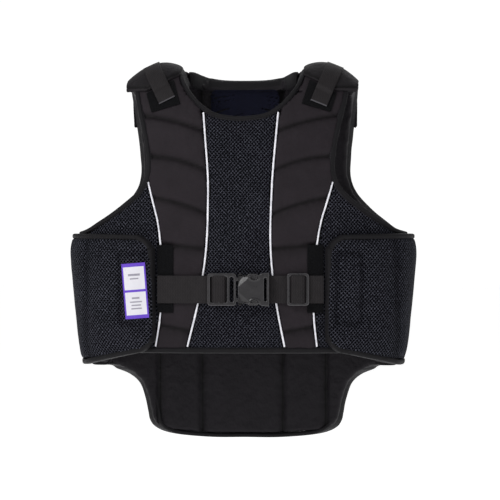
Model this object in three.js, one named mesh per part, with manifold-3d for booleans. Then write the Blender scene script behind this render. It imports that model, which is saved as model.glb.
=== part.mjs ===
// Equestrian body protector: padded front and back halves joined over the shoulders and by two side wings.
// Lengths are millimetres. +X is right as the front is seen, the front faces -Y and +Z is up.
// The origin lies midway between the shoulders, at the height of the underside of their padding.
import * as THREE from 'three';
import { mergeVertices } from 'three/addons/utils/BufferGeometryUtils.js';
import Module from 'manifold-3d';

const wasm = await Module();
wasm.setup();

// The hollow that the wearer fills
const HOLLOW_WIDTH = 416;
const HOLLOW_FRONT = 82;
const HOLLOW_BACK = 71;
const CHEST_LINE = 178;
const FRONT_LENGTH = 380;
const BACK_LENGTH = 509;
const SECTION_POWER = 2.6;
const ARCH_POWER = 2.3;

// Walls, from the hollow outwards
const CORE_WALL = 16;
const COVER_WALL = 5.7;
const MESH_RECESS = 0.6;
const QUILT_DEPTH = 2.6;
const QUILT_REACH = 9;
const CHANNEL_DEPTH = 3;
const CHANNEL_TURN = 0.035;
const LEAST_TURN = 0.012;
const CLEARANCE = 0.3;
const BINDING_WIDTH = 7;
const BINDING_LIP = 0.6;
const PIPING_RADIUS = 1.6;
const PIPING_SET = 1.28;

// Neck and shoulders
const NECK_WIDTH = 166;
const NECK_FRONT_DROP = 53;
const NECK_BACK_RISE = 7;
const COLLAR_STAND = 0.8;
const COLLAR_WIDTH = 170;
const SHOULDER_CREST = 220;
const SHOULDER_WIDTH = 322;
const SHOULDER_FALL = 25;
const COLLAR_FALL = 6;

// Armholes
const ARMHOLE_DROP = 214;
const FRONT_SHOULDER_WIDTH = 300;
const FRONT_CHEST_WIDTH = 262;
const BACK_SHOULDER_WIDTH = 326;
const BACK_CHEST_WIDTH = 306;

// Seams of the cover
const CENTRE_PANEL_WIDTH = 86;
const WAIST_PANEL_WIDTH = 210;
const BACK_PANEL_WIDTH = 150;
const OUTER_SEAM_DROP = 120;
const FRONT_LEAN = 0.026;

// Wings
const WING_TOP = 215;
const WING_HEIGHT = 182;
const WING_OPENING = 230;
const WING_WALL = 13.4;
const WING_CROWN = 3;
const WING_CORNER = 28;
const WING_TOP_DROP = 2;
const WING_BOTTOM_RISE = 16;

// Tail of the back
const TAIL_START = 400;
const TAIL_WIDTH = 284;

// Fastening patches, tabs and straps
const PATCH_WALL = 1.7;
const WAIST_LOOP_WIDTH = 22;
const WAIST_LOOP_HEIGHT = 93;
const WAIST_LOOP_TOP = 231;
const SHOULDER_LOOP_WIDTH = 42;
const SHOULDER_LOOP_HEIGHT = 36;
const SHOULDER_LOOP_TOP = 7;
const SHOULDER_LOOP_TURN = 17;
const TAB_WALL = 4.6;
const TAB_DROP = 19;
const TAB_SLANT = 23;
const TAB_BACK_DROP = 62;
const STRAP_WIDTH = 24;
const STRAP_WALL = 2;
const STRAP_TOP = 0.735;

// Belt and buckle
const BELT_HEIGHT = 292;
const BELT_WIDTH = 38;
const BELT_WALL = 2;
const BUCKLE_HEIGHT = 44;
const FRAME_LENGTH = 30;
const FRAME_BAR = 3.4;
const FRAME_WALL = 5;
const PRONG_REACH = 26;
const PRONG_WIDTH = 6;
const SOCKET_LENGTH = 36;
const SOCKET_EAR = 6;
const SOCKET_WALL = 12;
const SLIDER_LENGTH = 30;
const SLIDER_PLACE = 79;
const BUCKLE_PLACE = -2;

// Label and lining patch
const LABEL_WIDTH = 33;
const LABEL_HEIGHT = 76;
const LABEL_WALL = 0.5;
const LABEL_TURN = 4.5;
const LABEL_PLACE = 144;
const LINING_WIDTH = 100;
const LINING_HEIGHT = 76;
const LINING_WALL = 1.2;
const LINING_DROP = 6;
const LINING_CORNER = 12;

const CORE_OUT = CORE_WALL;
const COVER_IN = CORE_OUT + CLEARANCE;
const COVER_OUT = COVER_IN + COVER_WALL;
const OVER_COVER = COVER_OUT + 0.6;
const PATCH_IN = COVER_OUT + 2 * CLEARANCE;
const PATCH_OUT = PATCH_IN + PATCH_WALL;
const BELT_IN = PATCH_OUT + CLEARANCE;
const BELT_OUT = BELT_IN + BELT_WALL;
const WING_OUT = OVER_COVER + WING_WALL;
const TAB_OUT = OVER_COVER + TAB_WALL;
const SIDE = HOLLOW_WIDTH / 2 + COVER_OUT;
const BEYOND = 400;
const lerp = THREE.MathUtils.lerp;

// The hollow's section, row by row down the body: shares of its half width and of its two depths
const sections = [
  { down: 0, width: 1, front: 1, back: 1 },
  { down: CHEST_LINE, width: 1, front: 1, back: 1 },
  { down: lerp(CHEST_LINE, FRONT_LENGTH, 0.3), width: 1, front: 0.99, back: 0.95 },
  { down: lerp(CHEST_LINE, FRONT_LENGTH, 0.545), width: 0.98, front: 0.97, back: 0.92 },
  { down: FRONT_LENGTH, width: 0.94, front: 0.96, back: 0.94 },
  { down: BACK_LENGTH, width: 0.9, front: 0.96, back: 1.04 },
];

// Front neckline, right half: shares of the neck's half width and of its front drop
const neckline = [
  { across: 0, drop: 1 },
  { across: 0.22, drop: 0.975 },
  { across: 0.43, drop: 0.9 },
  { across: 0.64, drop: 0.68 },
  { across: 0.8, drop: 0.41 },
  { across: 0.92, drop: 0.12 },
  { across: 0.985, drop: -0.16 },
  { across: 1, drop: -0.5 },
  { across: 1, drop: -1.2 },
];

// Back neckline, right half: shares of the neck's half width and of its rise above the shoulder line
const backNeckline = [
  { across: 0, rise: 1 },
  { across: 0.35, rise: 1.1 },
  { across: 0.6, rise: 1.5 },
  { across: 0.8, rise: 2.1 },
  { across: 0.93, rise: 3 },
  { across: 1, rise: 4.6 },
  { across: 1, rise: 9.5 },
];

// Armhole from above the shoulder to the side: flare is the share of the way from the chest's half
// width to the shoulder's, out the share of the way from the chest's half width to the side
const armhole = [
  { drop: -0.3, flare: 1, out: 0 },
  { drop: 0, flare: 1, out: 0 },
  { drop: 0.1, flare: 0.93, out: 0 },
  { drop: 0.22, flare: 0.66, out: 0 },
  { drop: 0.33, flare: 0.36, out: 0 },
  { drop: 0.47, flare: 0.06, out: 0 },
  { drop: 0.61, flare: 0, out: 0 },
  { drop: 0.715, flare: 0, out: 0.1 },
  { drop: 0.813, flare: 0, out: 0.33 },
  { drop: 0.916, flare: 0, out: 0.66 },
  { drop: 0.985, flare: 0, out: 0.97 },
  { drop: 1.01, flare: 0, out: 1.6 },
];

// Seams of the front cover: shares of the front's length and of the panel's half width
const innerSeam = [
  { down: 0, across: 1.3 },
  { down: 0.113, across: 1.21 },
  { down: 0.258, across: 1.1 },
  { down: 0.363, across: 1.02 },
  { down: 0.526, across: 1 },
  { down: 0.626, across: 1.02 },
  { down: 0.716, across: 1.11 },
  { down: 0.816, across: 1.235 },
  { down: 0.9, across: 1.4 },
  { down: 1.02, across: 1.64 },
];
const outerSeam = [
  { down: 0.3, across: 1.3 },
  { down: 0.345, across: 1.24 },
  { down: 0.45, across: 1.143 },
  { down: 0.53, across: 1.057 },
  { down: 0.61, across: 1.02 },
  { down: 0.74, across: 0.99 },
  { down: 0.866, across: 1 },
  { down: 1.02, across: 1.08 },
];

// Quilting of the chest panels: heights at the outer side, the middle and the inner side as shares
// of the front's length
const quilting = [
  { outer: 0.13, middle: 0.153, inner: 0.21 },
  { outer: 0.292, middle: 0.293, inner: 0.353 },
  { outer: 0.43, middle: 0.45, inner: 0.51 },
  { outer: 0.597, middle: 0.61, inner: 0.626 },
  { outer: 0.887, middle: 0.906, inner: 0.94 },
];

// Tail outline, right half: shares of the tail's half width and of its length below the wings
const tail = [
  { across: 2.2, down: -0.02 },
  { across: 1.45, down: 0.02 },
  { across: 1.3, down: 0.09 },
  { across: 1.17, down: 0.17 },
  { across: 1.08, down: 0.29 },
  { across: 1.03, down: 0.48 },
  { across: 1, down: 0.67 },
  { across: 0.985, down: 0.77 },
  { across: 0.94, down: 0.86 },
  { across: 0.84, down: 0.93 },
  { across: 0.68, down: 0.97 },
  { across: 0.35, down: 1 },
  { across: 0, down: 1 },
];

// Channels sewn into the inside of the back: places across as shares of the tail's half width
const channels = [-0.88, -0.42, 0.42, 0.88];

// Lines that every curved wall is bent along: degrees round from the middle of the front, and shares of
// the arch over the shoulders
const TURNS = [0, 10, 16, 28, 41, 54, 66, 78, 90];
const SEAM_STEP = 26;
const CORNER_STEPS = 3;
const ARCH_STEPS = [0.2, 0.4, 0.6, 0.8, 1];

const colours = {
  foam: { color: 0x141317, roughness: 0.9, metalness: 0 },
  nylon: { color: 0x26222a, roughness: 0.75, metalness: 0 },
  mesh: { color: 0x15171c, roughness: 0.9, metalness: 0 },
  tape: { color: 0x2c2b31, roughness: 0.7, metalness: 0 },
  piping: { color: 0xd9dbe2, roughness: 0.6, metalness: 0 },
  loop: { color: 0x0b0b0c, roughness: 1, metalness: 0 },
  webbing: { color: 0x222126, roughness: 0.7, metalness: 0 },
  plastic: { color: 0x1b1c20, roughness: 0.35, metalness: 0 },
  label: { color: 0xe8e4f2, roughness: 0.6, metalness: 0 },
  lining: { color: 0x141828, roughness: 0.8, metalness: 0 },
};

const power = (value, exponent) => Math.sign(value) * Math.abs(value) ** exponent;

// Straight interpolation in a table: the value of one column where another has the given value
function look(rows, from, to, at) {
  const last = rows.length - 1;
  if (at <= rows[0][from]) return rows[0][to];
  if (at >= rows[last][from]) return rows[last][to];
  const next = rows.findIndex((row) => row[from] > at);
  const share = (at - rows[next - 1][from]) / (rows[next][from] - rows[next - 1][from]);
  return lerp(rows[next - 1][to], rows[next][to], share);
}

// How far the shoulders fall away from their crest, towards the neck and towards the arm
function fall(x) {
  const crest = SHOULDER_CREST / 2;
  const end = SHOULDER_WIDTH / 2;
  const across = THREE.MathUtils.clamp(Math.abs(x), COLLAR_WIDTH / 2, end * 1.1);
  if (across < crest) return COLLAR_FALL * ((crest - across) / (crest - COLLAR_WIDTH / 2)) ** 2;
  return SHOULDER_FALL * ((across - crest) / (end - crest)) ** 2;
}

// How upright the back stands at the collar instead of arching forward
function stand(x) {
  const rise = THREE.MathUtils.smoothstep(Math.abs(x), COLLAR_WIDTH * 0.3, COLLAR_WIDTH * 0.44);
  return COLLAR_STAND * (1 - rise);
}

// A point of the body. turn runs round from the middle of the front; level is a height below the
// shoulders down to the chest line, and from there a share of the arch; off is measured from the hollow
function body(turn, level, off) {
  const down = Math.max(-level, CHEST_LINE);
  const width = (HOLLOW_WIDTH / 2) * look(sections, 'down', 'width', down) + off;
  const front = Math.cos(turn) > 0;
  const depth = front
    ? HOLLOW_FRONT * look(sections, 'down', 'front', down) + off
    : HOLLOW_BACK * look(sections, 'down', 'back', down) + off;
  const x = width * power(Math.sin(turn), 2 / SECTION_POWER);
  let y = -depth * power(Math.cos(turn), 2 / SECTION_POWER);
  let z = level;
  if (level >= 0) {
    const arch = (level * Math.PI) / 2;
    const lean = front ? 0 : stand(x);
    y *= lerp(Math.max(Math.cos(arch), 0) ** (2 / ARCH_POWER), 1, lean);
    z = -CHEST_LINE + (CHEST_LINE + off) * Math.sin(arch) ** (2 / ARCH_POWER);
    z -= fall(x) * Math.sin(arch) ** 4;
  }
  return new THREE.Vector3(x, y, z);
}

// The turn at which the body has a given distance across, at a height
function turnAt(x, off, z = -CHEST_LINE) {
  const width = (HOLLOW_WIDTH / 2) * look(sections, 'down', 'width', Math.max(-z, CHEST_LINE));
  const share = Math.min(Math.abs(x) / (width + off), 1);
  return Math.sign(x) * Math.asin(share ** (SECTION_POWER / 2));
}

// The level at which a point across the body has height z, found by halving
function levelAt(x, z, off) {
  if (z <= -CHEST_LINE) return z;
  let low = 0;
  let high = 1;
  for (let i = 0; i < 24; i += 1) {
    const middle = (low + high) / 2;
    if (body(turnAt(x, off), middle, off).z < z) low = middle;
    else high = middle;
  }
  return low;
}

// A point on the front by its place across and its height
function facePoint(x, z, off) {
  return body(turnAt(x, off, z), levelAt(x, z, off), off);
}

// A box bent by a function of its column, its row and the share through its wall
function bent(columns, rows, place) {
  const box = new THREE.BoxGeometry(1, 1, 1, columns, rows, 1);
  const spot = box.attributes.position;
  for (let i = 0; i < spot.count; i += 1) {
    const column = Math.round((spot.getX(i) + 0.5) * columns);
    const row = Math.round((spot.getY(i) + 0.5) * rows);
    const point = place(column, row, spot.getZ(i) + 0.5);
    spot.setXYZ(i, point.x, point.y, point.z);
  }
  // The squares of the inner face are split along the same diagonals as those of the outer face
  const { start, count } = box.groups[5];
  for (let i = start; i < start + count; i += 6) {
    const [a, b, d, , c] = box.index.array.slice(i, i + 6);
    box.index.array.set([a, b, c, a, c, d], i);
  }
  return box;
}

// Turn lines from one angle to another, in degrees, with the common lines between them
function turnLines(from, to) {
  const all = [];
  for (const angle of TURNS) all.push(angle, -angle, 180 - angle, angle - 180, 180 + angle);
  const between = all.filter((angle) => angle > from + 0.5 && angle < to - 0.5);
  const sorted = [...new Set(between)].sort((a, b) => a - b);
  return [from, ...sorted, to].map(THREE.MathUtils.degToRad);
}

// Levels from a depth below the shoulders up to the top of the arch
function levelLines(bottom) {
  const knots = sections.map((row) => -row.down).filter((z) => z > -bottom + 1 && z <= -CHEST_LINE);
  return [-bottom, ...knots.sort((a, b) => a - b), ...ARCH_STEPS];
}

// A wall of even thickness between two offsets from the hollow
function wall(turns, levels, inner, outer) {
  return bent(turns.length - 1, levels.length - 1, (column, row, share) =>
    body(turns[column], levels[row], lerp(inner, outer, share)));
}

function solid(geometry) {
  const plain = geometry.clone();
  plain.deleteAttribute('normal');
  plain.deleteAttribute('uv');
  const merged = mergeVertices(plain, 1e-4);
  const vertProperties = new Float32Array(merged.attributes.position.array);
  const triVerts = new Uint32Array(merged.index.array);
  return new wasm.Manifold(new wasm.Mesh({ numProp: 3, vertProperties, triVerts }));
}

function geometryOf(body3d) {
  const mesh = body3d.getMesh();
  const geometry = new THREE.BufferGeometry();
  geometry.setAttribute('position', new THREE.BufferAttribute(mesh.vertProperties, 3));
  geometry.setIndex(new THREE.BufferAttribute(mesh.triVerts, 1));
  geometry.computeVertexNormals();
  return geometry;
}

// A straight cutter of an outline in X and Z, through the front, the back or both
function cutter(points, side = 'both') {
  const shape = new THREE.Shape(points);
  const depth = side === 'both' ? 2 * BEYOND : BEYOND;
  const geometry = new THREE.ExtrudeGeometry(shape, { depth, bevelEnabled: false });
  geometry.rotateX(Math.PI / 2);
  if (side === 'front') geometry.translate(0, -CLEARANCE / 2, 0);
  if (side === 'back') geometry.translate(0, BEYOND + CLEARANCE / 2, 0);
  if (side === 'both') geometry.translate(0, BEYOND, 0);
  return solid(geometry);
}

// Moves a line of points to its left by a distance
function shifted(points, distance) {
  return points.map((point, i) => {
    const before = points[Math.max(i - 1, 0)];
    const after = points[Math.min(i + 1, points.length - 1)];
    const along = after.clone().sub(before).normalize();
    return new THREE.Vector2(point.x - along.y * distance, point.y + along.x * distance);
  });
}

const flipped = (points) => points.map((point) => new THREE.Vector2(-point.x, point.y)).reverse();
const strip = (points, distance) => [...points, ...shifted(points, distance).reverse()];
const spot = (x, z) => new THREE.Vector2(x, z);

// The neckline from left to right, with the body on its right-hand side
function neckEdge(rows, height) {
  const right = rows.map((row) => spot((row.across * NECK_WIDTH) / 2, height(row)));
  return [...flipped(right).slice(0, -1), ...right];
}
const frontNeck = neckEdge(neckline, (row) => -row.drop * NECK_FRONT_DROP);
const backNeck = neckEdge(backNeckline, (row) => row.rise * NECK_BACK_RISE);

// The right armhole from above the shoulder down to the side, with the body on its right-hand side
function armEdge(shoulderWidth, chestWidth) {
  const chest = chestWidth / 2;
  return armhole.map((row) => {
    const flare = row.flare * (shoulderWidth / 2 - chest);
    return spot(chest + flare + row.out * (SIDE - chest), -row.drop * ARMHOLE_DROP);
  });
}
const frontArm = armEdge(FRONT_SHOULDER_WIDTH, FRONT_CHEST_WIDTH);
const backArm = armEdge(BACK_SHOULDER_WIDTH, BACK_CHEST_WIDTH);

// The hems from right to left, with the body on the right-hand side
const frontHem = [spot(BEYOND, -FRONT_LENGTH), spot(0, -FRONT_LENGTH), spot(-BEYOND, -FRONT_LENGTH)];
const tailRight = tail.map((row) =>
  spot((row.across * TAIL_WIDTH) / 2, -lerp(TAIL_START, BACK_LENGTH, row.down)));
const tailHem = [...tailRight, ...flipped(tailRight).slice(1)];

// A closed outline of one half of the garment, drawn in from its edges by a distance
function halfOutline(neck, arm, hem, inset) {
  const right = shifted(arm, -inset);
  return [...shifted(neck, -inset), ...right, ...shifted(hem, -inset), ...flipped(right)];
}

// Where a seam lies across the front at a height; side is -1 on the left and 1 on the right
function seamAcross(seam, width, z, side) {
  const lean = -FRONT_LEAN * Math.max(-z - WAIST_LOOP_TOP * 0.6, 0);
  return side * look(seam, 'down', 'across', -z / FRONT_LENGTH) * (width / 2) + lean;
}

// A seam as points from one height down to another
function seamLine(seam, width, top, bottom, side) {
  const steps = Math.ceil((top - bottom) / SEAM_STEP);
  return Array.from({ length: steps + 1 }, (_, i) => {
    const z = lerp(top, bottom, i / steps);
    return spot(seamAcross(seam, width, z, side), z);
  });
}

// The two padded halves
const frontTurns = turnLines(-90, 90);
const backTurns = turnLines(90, 270);
const frontLevels = levelLines(FRONT_LENGTH + 6);
const backLevels = levelLines(BACK_LENGTH + 6);
const coreInset = BINDING_WIDTH + CLEARANCE;
const frontInside = cutter(halfOutline(frontNeck, frontArm, frontHem, coreInset), 'front');
const backInside = cutter(halfOutline(backNeck, backArm, tailHem, coreInset), 'back');

const frontWall = (inner, outer) => solid(wall(frontTurns, frontLevels, inner, outer));
const backWall = (inner, outer) => solid(wall(backTurns, backLevels, inner, outer));

// The back's inside is sewn into upright channels, each a shallow valley
function channelledBack() {
  const places = channels.map((share) => (share * TAIL_WIDTH) / 2);
  const lines = [...backTurns];
  for (const x of places) {
    const middle = Math.PI - turnAt(x, 0);
    lines.push(middle, middle - CHANNEL_TURN, middle + CHANNEL_TURN);
  }
  lines.sort((a, b) => a - b);
  const turns = lines.filter((turn, i) => i === 0 || turn - lines[i - 1] > LEAST_TURN);
  return bent(turns.length - 1, backLevels.length - 1, (column, row, share) => {
    const nearest = Math.min(...places.map((x) => Math.abs(Math.PI - turnAt(x, 0) - turns[column])));
    const valley = nearest < LEAST_TURN ? CHANNEL_DEPTH : 0;
    return body(turns[column], backLevels[row], lerp(valley, CORE_OUT + BINDING_LIP, share));
  });
}

const frontCore = frontWall(0, CORE_OUT).intersect(frontInside);
const backCore = solid(channelledBack()).intersect(backWall(-BINDING_LIP, CORE_OUT)).intersect(backInside);

// Front cover: seams, panels and piping
const seamGap = PIPING_RADIUS + 2 * CLEARANCE;
const seamTop = CHEST_LINE / 3;
const seamBottom = -FRONT_LENGTH - BINDING_WIDTH;

function seamCutter(left, right) {
  return cutter([...left, ...[...right].reverse()], 'front');
}

function offsetSeam(line, distance) {
  return line.map((point) => spot(point.x + distance, point.y));
}

const seams = {};
for (const side of [-1, 1]) {
  seams[`inner${side}`] = seamLine(innerSeam, CENTRE_PANEL_WIDTH, seamTop, seamBottom, side);
  seams[`outer${side}`] = seamLine(outerSeam, WAIST_PANEL_WIDTH, -OUTER_SEAM_DROP, seamBottom, side);
}

const meshWall = frontWall(COVER_IN, COVER_OUT - MESH_RECESS).intersect(frontInside);
const centreMesh = meshWall.intersect(
  seamCutter(offsetSeam(seams['inner-1'], seamGap), offsetSeam(seams.inner1, -seamGap)));

// The side mesh lies outside the outer seam, below the place where that seam meets the armhole
function sideRegion(side) {
  const line = offsetSeam(seams[`outer${side}`], side * seamGap);
  const far = side * BEYOND;
  return cutter([...line, spot(far, seamBottom), spot(far, line[0].y)], 'front');
}

// The chest region lies between the seams, and above the outer seam it reaches out to the armhole
function chestRegion(side) {
  const inside = offsetSeam(seams[`inner${side}`], side * seamGap);
  const outside = offsetSeam(seams[`outer${side}`], -side * seamGap);
  const far = side * BEYOND;
  const top = outside[0].y + 2 * seamGap;
  return cutter([...inside, ...outside.reverse(), spot(outside[outside.length - 1].x, top),
    spot(far, top), spot(far, seamTop)], 'front');
}

// The chest panel's wall rises between its quilted lines and dips at each of them
function chestPanel(side) {
  const reach = FRONT_SHOULDER_WIDTH / 2 + BINDING_WIDTH;
  const near = CENTRE_PANEL_WIDTH / 2 - BINDING_WIDTH;
  const columns = 5;
  const lines = [];
  lines.push({ at: () => seamBottom, dip: 0 });
  for (const row of [...quilting].reverse()) {
    const curve = (share) => {
      const outward = share;
      const middle = 4 * outward * (1 - outward) * row.middle;
      const ends = (1 - outward) * (1 - 2 * outward) * row.inner + outward * (2 * outward - 1) * row.outer;
      return -(middle + ends) * FRONT_LENGTH;
    };
    lines.push({ at: (share) => curve(share) - QUILT_REACH, dip: 0 });
    lines.push({ at: curve, dip: QUILT_DEPTH + BINDING_LIP });
    lines.push({ at: (share) => curve(share) + QUILT_REACH, dip: 0 });
  }
  const shoulderSteps = [0.72, 0.86, 1];
  const rows = lines.length - 1 + shoulderSteps.length;
  const place = (column, row, through) => {
    const outward = side > 0 ? column / columns : 1 - column / columns;
    const x = side * lerp(near, reach, outward);
    const dip = row < lines.length ? lines[row].dip : 0;
    const level = row < lines.length
      ? levelAt(x, lines[row].at(outward), COVER_OUT)
      : shoulderSteps[row - lines.length];
    const turn = turnAt(x, COVER_OUT, Math.min(level, 0));
    return body(turn, level, lerp(CORE_OUT - BINDING_WIDTH, COVER_OUT + BINDING_LIP - dip, through));
  };
  return solid(bent(columns, rows, place))
    .intersect(frontWall(COVER_IN, COVER_OUT))
    .intersect(frontInside)
    .intersect(chestRegion(side));
}

// The distance from a point to a line of points
function distanceTo(point, line) {
  const at = new THREE.Vector3(point.x, point.y, 0);
  const near = new THREE.Vector3();
  let least = Infinity;
  for (let i = 1; i < line.length; i += 1) {
    const start = new THREE.Vector3(line[i - 1].x, line[i - 1].y, 0);
    const end = new THREE.Vector3(line[i].x, line[i].y, 0);
    new THREE.Line3(start, end).closestPointToPoint(at, true, near);
    least = Math.min(least, near.distanceTo(at));
  }
  return least;
}

// A round cord sewn into a seam, from the binding that the seam starts at down to the hem binding
function piping(seam, width, edge, side) {
  const clear = BINDING_WIDTH + PIPING_RADIUS + CLEARANCE;
  const at = (z) => spot(seamAcross(seam, width, z, side), z);
  const highest = -seam[1].down * FRONT_LENGTH + 2 * clear;
  const bottom = -FRONT_LENGTH + clear;
  const heights = Array.from({ length: Math.floor(highest - bottom) }, (_, i) => highest - i);
  const tight = heights.filter((z) => distanceTo(at(z), edge) < clear);
  const line = seamLine(seam, width, Math.min(highest, ...tight) - 1, bottom, side);
  const points = line.map((point) => facePoint(point.x, point.y, COVER_OUT - PIPING_SET));
  const sides = 6;
  const round = Array.from({ length: sides }, (_, i) => {
    const angle = (i * 2 * Math.PI) / sides;
    return spot(PIPING_RADIUS * Math.cos(angle), PIPING_RADIUS * Math.sin(angle));
  });
  const path = new THREE.CatmullRomCurve3(points);
  const options = { steps: points.length + 3, extrudePath: path, bevelEnabled: false };
  return new THREE.ExtrudeGeometry(new THREE.Shape(round), options);
}

// Bindings: tape folded over the edges of the two halves
function binding(slab, edge, side) {
  return slab.intersect(cutter(strip(edge, -BINDING_WIDTH), side));
}

const frontTape = frontWall(-BINDING_LIP, COVER_OUT + 0.2);
const backTape = backWall(-BINDING_LIP, COVER_OUT + 0.2);

// Wings: padded flaps that wrap from the back round the side to the front
function wingOutline(inset) {
  const inner = WING_OPENING / 2;
  const top = -WING_TOP;
  const bottom = -WING_TOP - WING_HEIGHT;
  const corner = WING_CORNER;
  const points = [];
  const corners = [
    { x: inner + corner, z: top - WING_TOP_DROP - corner, from: Math.PI, to: Math.PI / 2 },
    { x: inner + corner, z: bottom + corner + WING_BOTTOM_RISE, from: -Math.PI / 2, to: -Math.PI },
  ];
  for (const place of corners) {
    for (let i = 0; i <= CORNER_STEPS; i += 1) {
      const angle = lerp(place.from, place.to, i / CORNER_STEPS);
      const x = place.x + (corner - inset) * Math.cos(angle);
      points.push(spot(x, place.z + (corner - inset) * Math.sin(angle)));
    }
    if (place === corners[0]) {
      points.push(spot(BEYOND, top - inset), spot(BEYOND, bottom + inset), spot(SIDE, bottom + inset));
    }
  }
  return points;
}

function wingSlab(side, inner, outer, crown) {
  const start = THREE.MathUtils.radToDeg(turnAt(WING_OPENING / 2 - 8, OVER_COVER));
  const turns = side > 0 ? turnLines(start, 180 - start) : turnLines(start - 180, -start);
  const top = -WING_TOP;
  const bottom = top - WING_HEIGHT;
  const knots = sections.map((row) => -row.down).filter((z) => z > bottom + 24 && z < top - 24);
  const margin = BINDING_WIDTH / 2;
  const round = BINDING_WIDTH + WING_WALL;
  const levels = [bottom - margin, bottom + round, ...knots.sort((a, b) => a - b), top - round, top + margin];
  const last = levels.length - 1;
  return solid(bent(turns.length - 1, last, (column, row, share) => {
    const edge = row === 0 || row === last || column === 0 || column === turns.length - 1;
    return body(turns[column], levels[row], lerp(inner, outer - (edge ? crown : 0), share));
  }));
}

function wing(side) {
  const outline = wingOutline(BINDING_WIDTH + CLEARANCE);
  return wingSlab(side, OVER_COVER, WING_OUT, WING_CROWN)
    .intersect(cutter(side > 0 ? outline : flipped(outline)));
}

function wingBinding(side) {
  const outer = wingOutline(0);
  const inner = wingOutline(BINDING_WIDTH);
  const ring = cutter(side > 0 ? outer : flipped(outer)).subtract(cutter(side > 0 ? inner : flipped(inner)));
  return wingSlab(side, OVER_COVER - 0.2, WING_OUT - WING_CROWN + 0.6, 0).intersect(ring);
}

// A flat piece laid on the front: corners are given by its middle, size and turn in its own plane
function laid(x, z, width, height, turn, inner, outer, columns, rows) {
  const cos = Math.cos(turn);
  const sin = Math.sin(turn);
  return bent(columns, rows, (column, row, share) => {
    const across = (column / columns - 0.5) * width;
    const up = (row / rows - 0.5) * height;
    return facePoint(x + across * cos - up * sin, z + across * sin + up * cos, lerp(inner, outer, share));
  });
}

// Shoulder tab: comes up from the back, over the crest, and laps over the front. Its front edge runs
// down from the neck, then level
const tabInner = NECK_WIDTH / 2 + 3;
const tabOuter = SHOULDER_WIDTH / 2;

function tabEdge(x) {
  const outward = (Math.abs(x) - tabInner) / (tabOuter - tabInner);
  return -TAB_DROP + TAB_SLANT * (1 - THREE.MathUtils.clamp(outward / 0.6, 0, 1));
}

function shoulderTab(side) {
  const columns = 5;
  const rows = 12;
  const tab = bent(columns, rows, (column, row, share) => {
    const outward = side > 0 ? column / columns : 1 - column / columns;
    const x = side * lerp(tabInner, tabOuter, outward);
    const off = lerp(COVER_IN + 1, TAB_OUT, share);
    const front = levelAt(x, tabEdge(x), COVER_OUT);
    const back = levelAt(x, -TAB_BACK_DROP, COVER_OUT);
    const along = row / rows;
    const turn = turnAt(x, off);
    if (along <= 0.5) return body(turn, lerp(front, 1, along * 2), off);
    return body(Math.PI - turn, lerp(1, back, along * 2 - 1), off);
  });
  return geometryOf(solid(tab).subtract(frontWall(0, OVER_COVER)).subtract(backWall(0, OVER_COVER)));
}

// The shoulder's loop patch shows below the edge of the tab
function shoulderLoop(side) {
  const x = side * (NECK_WIDTH / 2 + 5 + SHOULDER_LOOP_WIDTH / 2);
  const z = -SHOULDER_LOOP_TOP - SHOULDER_LOOP_HEIGHT / 2;
  const turn = THREE.MathUtils.degToRad(-side * SHOULDER_LOOP_TURN);
  const patch = laid(x, z, SHOULDER_LOOP_WIDTH, SHOULDER_LOOP_HEIGHT, turn, PATCH_IN, PATCH_OUT, 4, 5);
  const places = [0, 0.6, 1].map((outward) => side * lerp(tabInner, tabOuter, outward));
  const edge = [side * NECK_WIDTH / 2, ...places].map((place) => spot(place, tabEdge(place) - 4 * CLEARANCE));
  const top = [spot(side * tabOuter, CHEST_LINE), spot(side * NECK_WIDTH / 2, CHEST_LINE)];
  return geometryOf(solid(patch).subtract(cutter([...edge, ...top], 'front')));
}

// Shoulder strap: sewn near the crest of the tab, it crosses the tab's edge down to the loop patch. Its
// places across are shares of the shoulder's half width, and its end a share of the way down the patch
const straps = [
  { side: -1, topAcross: 0.795, endAcross: 0.634, end: 0.733 },
  { side: 1, topAcross: 0.807, endAcross: 0.665, end: 0.844 },
];

function shoulderStrap(row) {
  const columns = 3;
  const rows = 9;
  const patchEnd = SHOULDER_LOOP_TOP + SHOULDER_LOOP_HEIGHT;
  const start = spot((row.side * row.topAcross * SHOULDER_WIDTH) / 2, STRAP_TOP * TAB_OUT);
  const end = spot((row.side * row.endAcross * SHOULDER_WIDTH) / 2, -row.end * patchEnd);
  const down = end.clone().sub(start).normalize();
  return bent(columns, rows, (column, step, share) => {
    const along = 1 - step / rows;
    const across = (column / columns - 0.5) * STRAP_WIDTH;
    const centre = start.clone().lerp(end, along);
    const x = centre.x - down.y * across;
    const z = centre.y + down.x * across;
    const past = THREE.MathUtils.smoothstep(tabEdge(x) - z, STRAP_WALL, TAB_WALL + STRAP_WALL);
    const base = lerp(TAB_OUT + 2 * CLEARANCE, PATCH_OUT + CLEARANCE, past);
    return facePoint(x, z, base + share * STRAP_WALL);
  });
}

// Hardware is drawn flat: local X along the belt, local Y up, local Z away from the body
function plate(outline, holes, thickness) {
  const shape = new THREE.Shape(outline);
  for (const hole of holes) shape.holes.push(new THREE.Path(hole));
  const geometry = new THREE.ExtrudeGeometry(shape, { depth: thickness, bevelEnabled: false });
  geometry.rotateX(Math.PI / 2);
  return geometry;
}

function roundedBox(x0, x1, y0, y1, radius) {
  const points = [];
  const corners = [[x1, y1, 0], [x0, y1, 1], [x0, y0, 2], [x1, y0, 3]];
  for (const [x, y, quarter] of corners) {
    const cx = x === x1 ? x1 - radius : x0 + radius;
    const cy = y === y1 ? y1 - radius : y0 + radius;
    for (let i = 0; i <= CORNER_STEPS; i += 1) {
      const angle = ((quarter + i / CORNER_STEPS) * Math.PI) / 2;
      points.push(spot(cx + radius * Math.cos(angle), cy + radius * Math.sin(angle)));
    }
  }
  return points;
}

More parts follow.
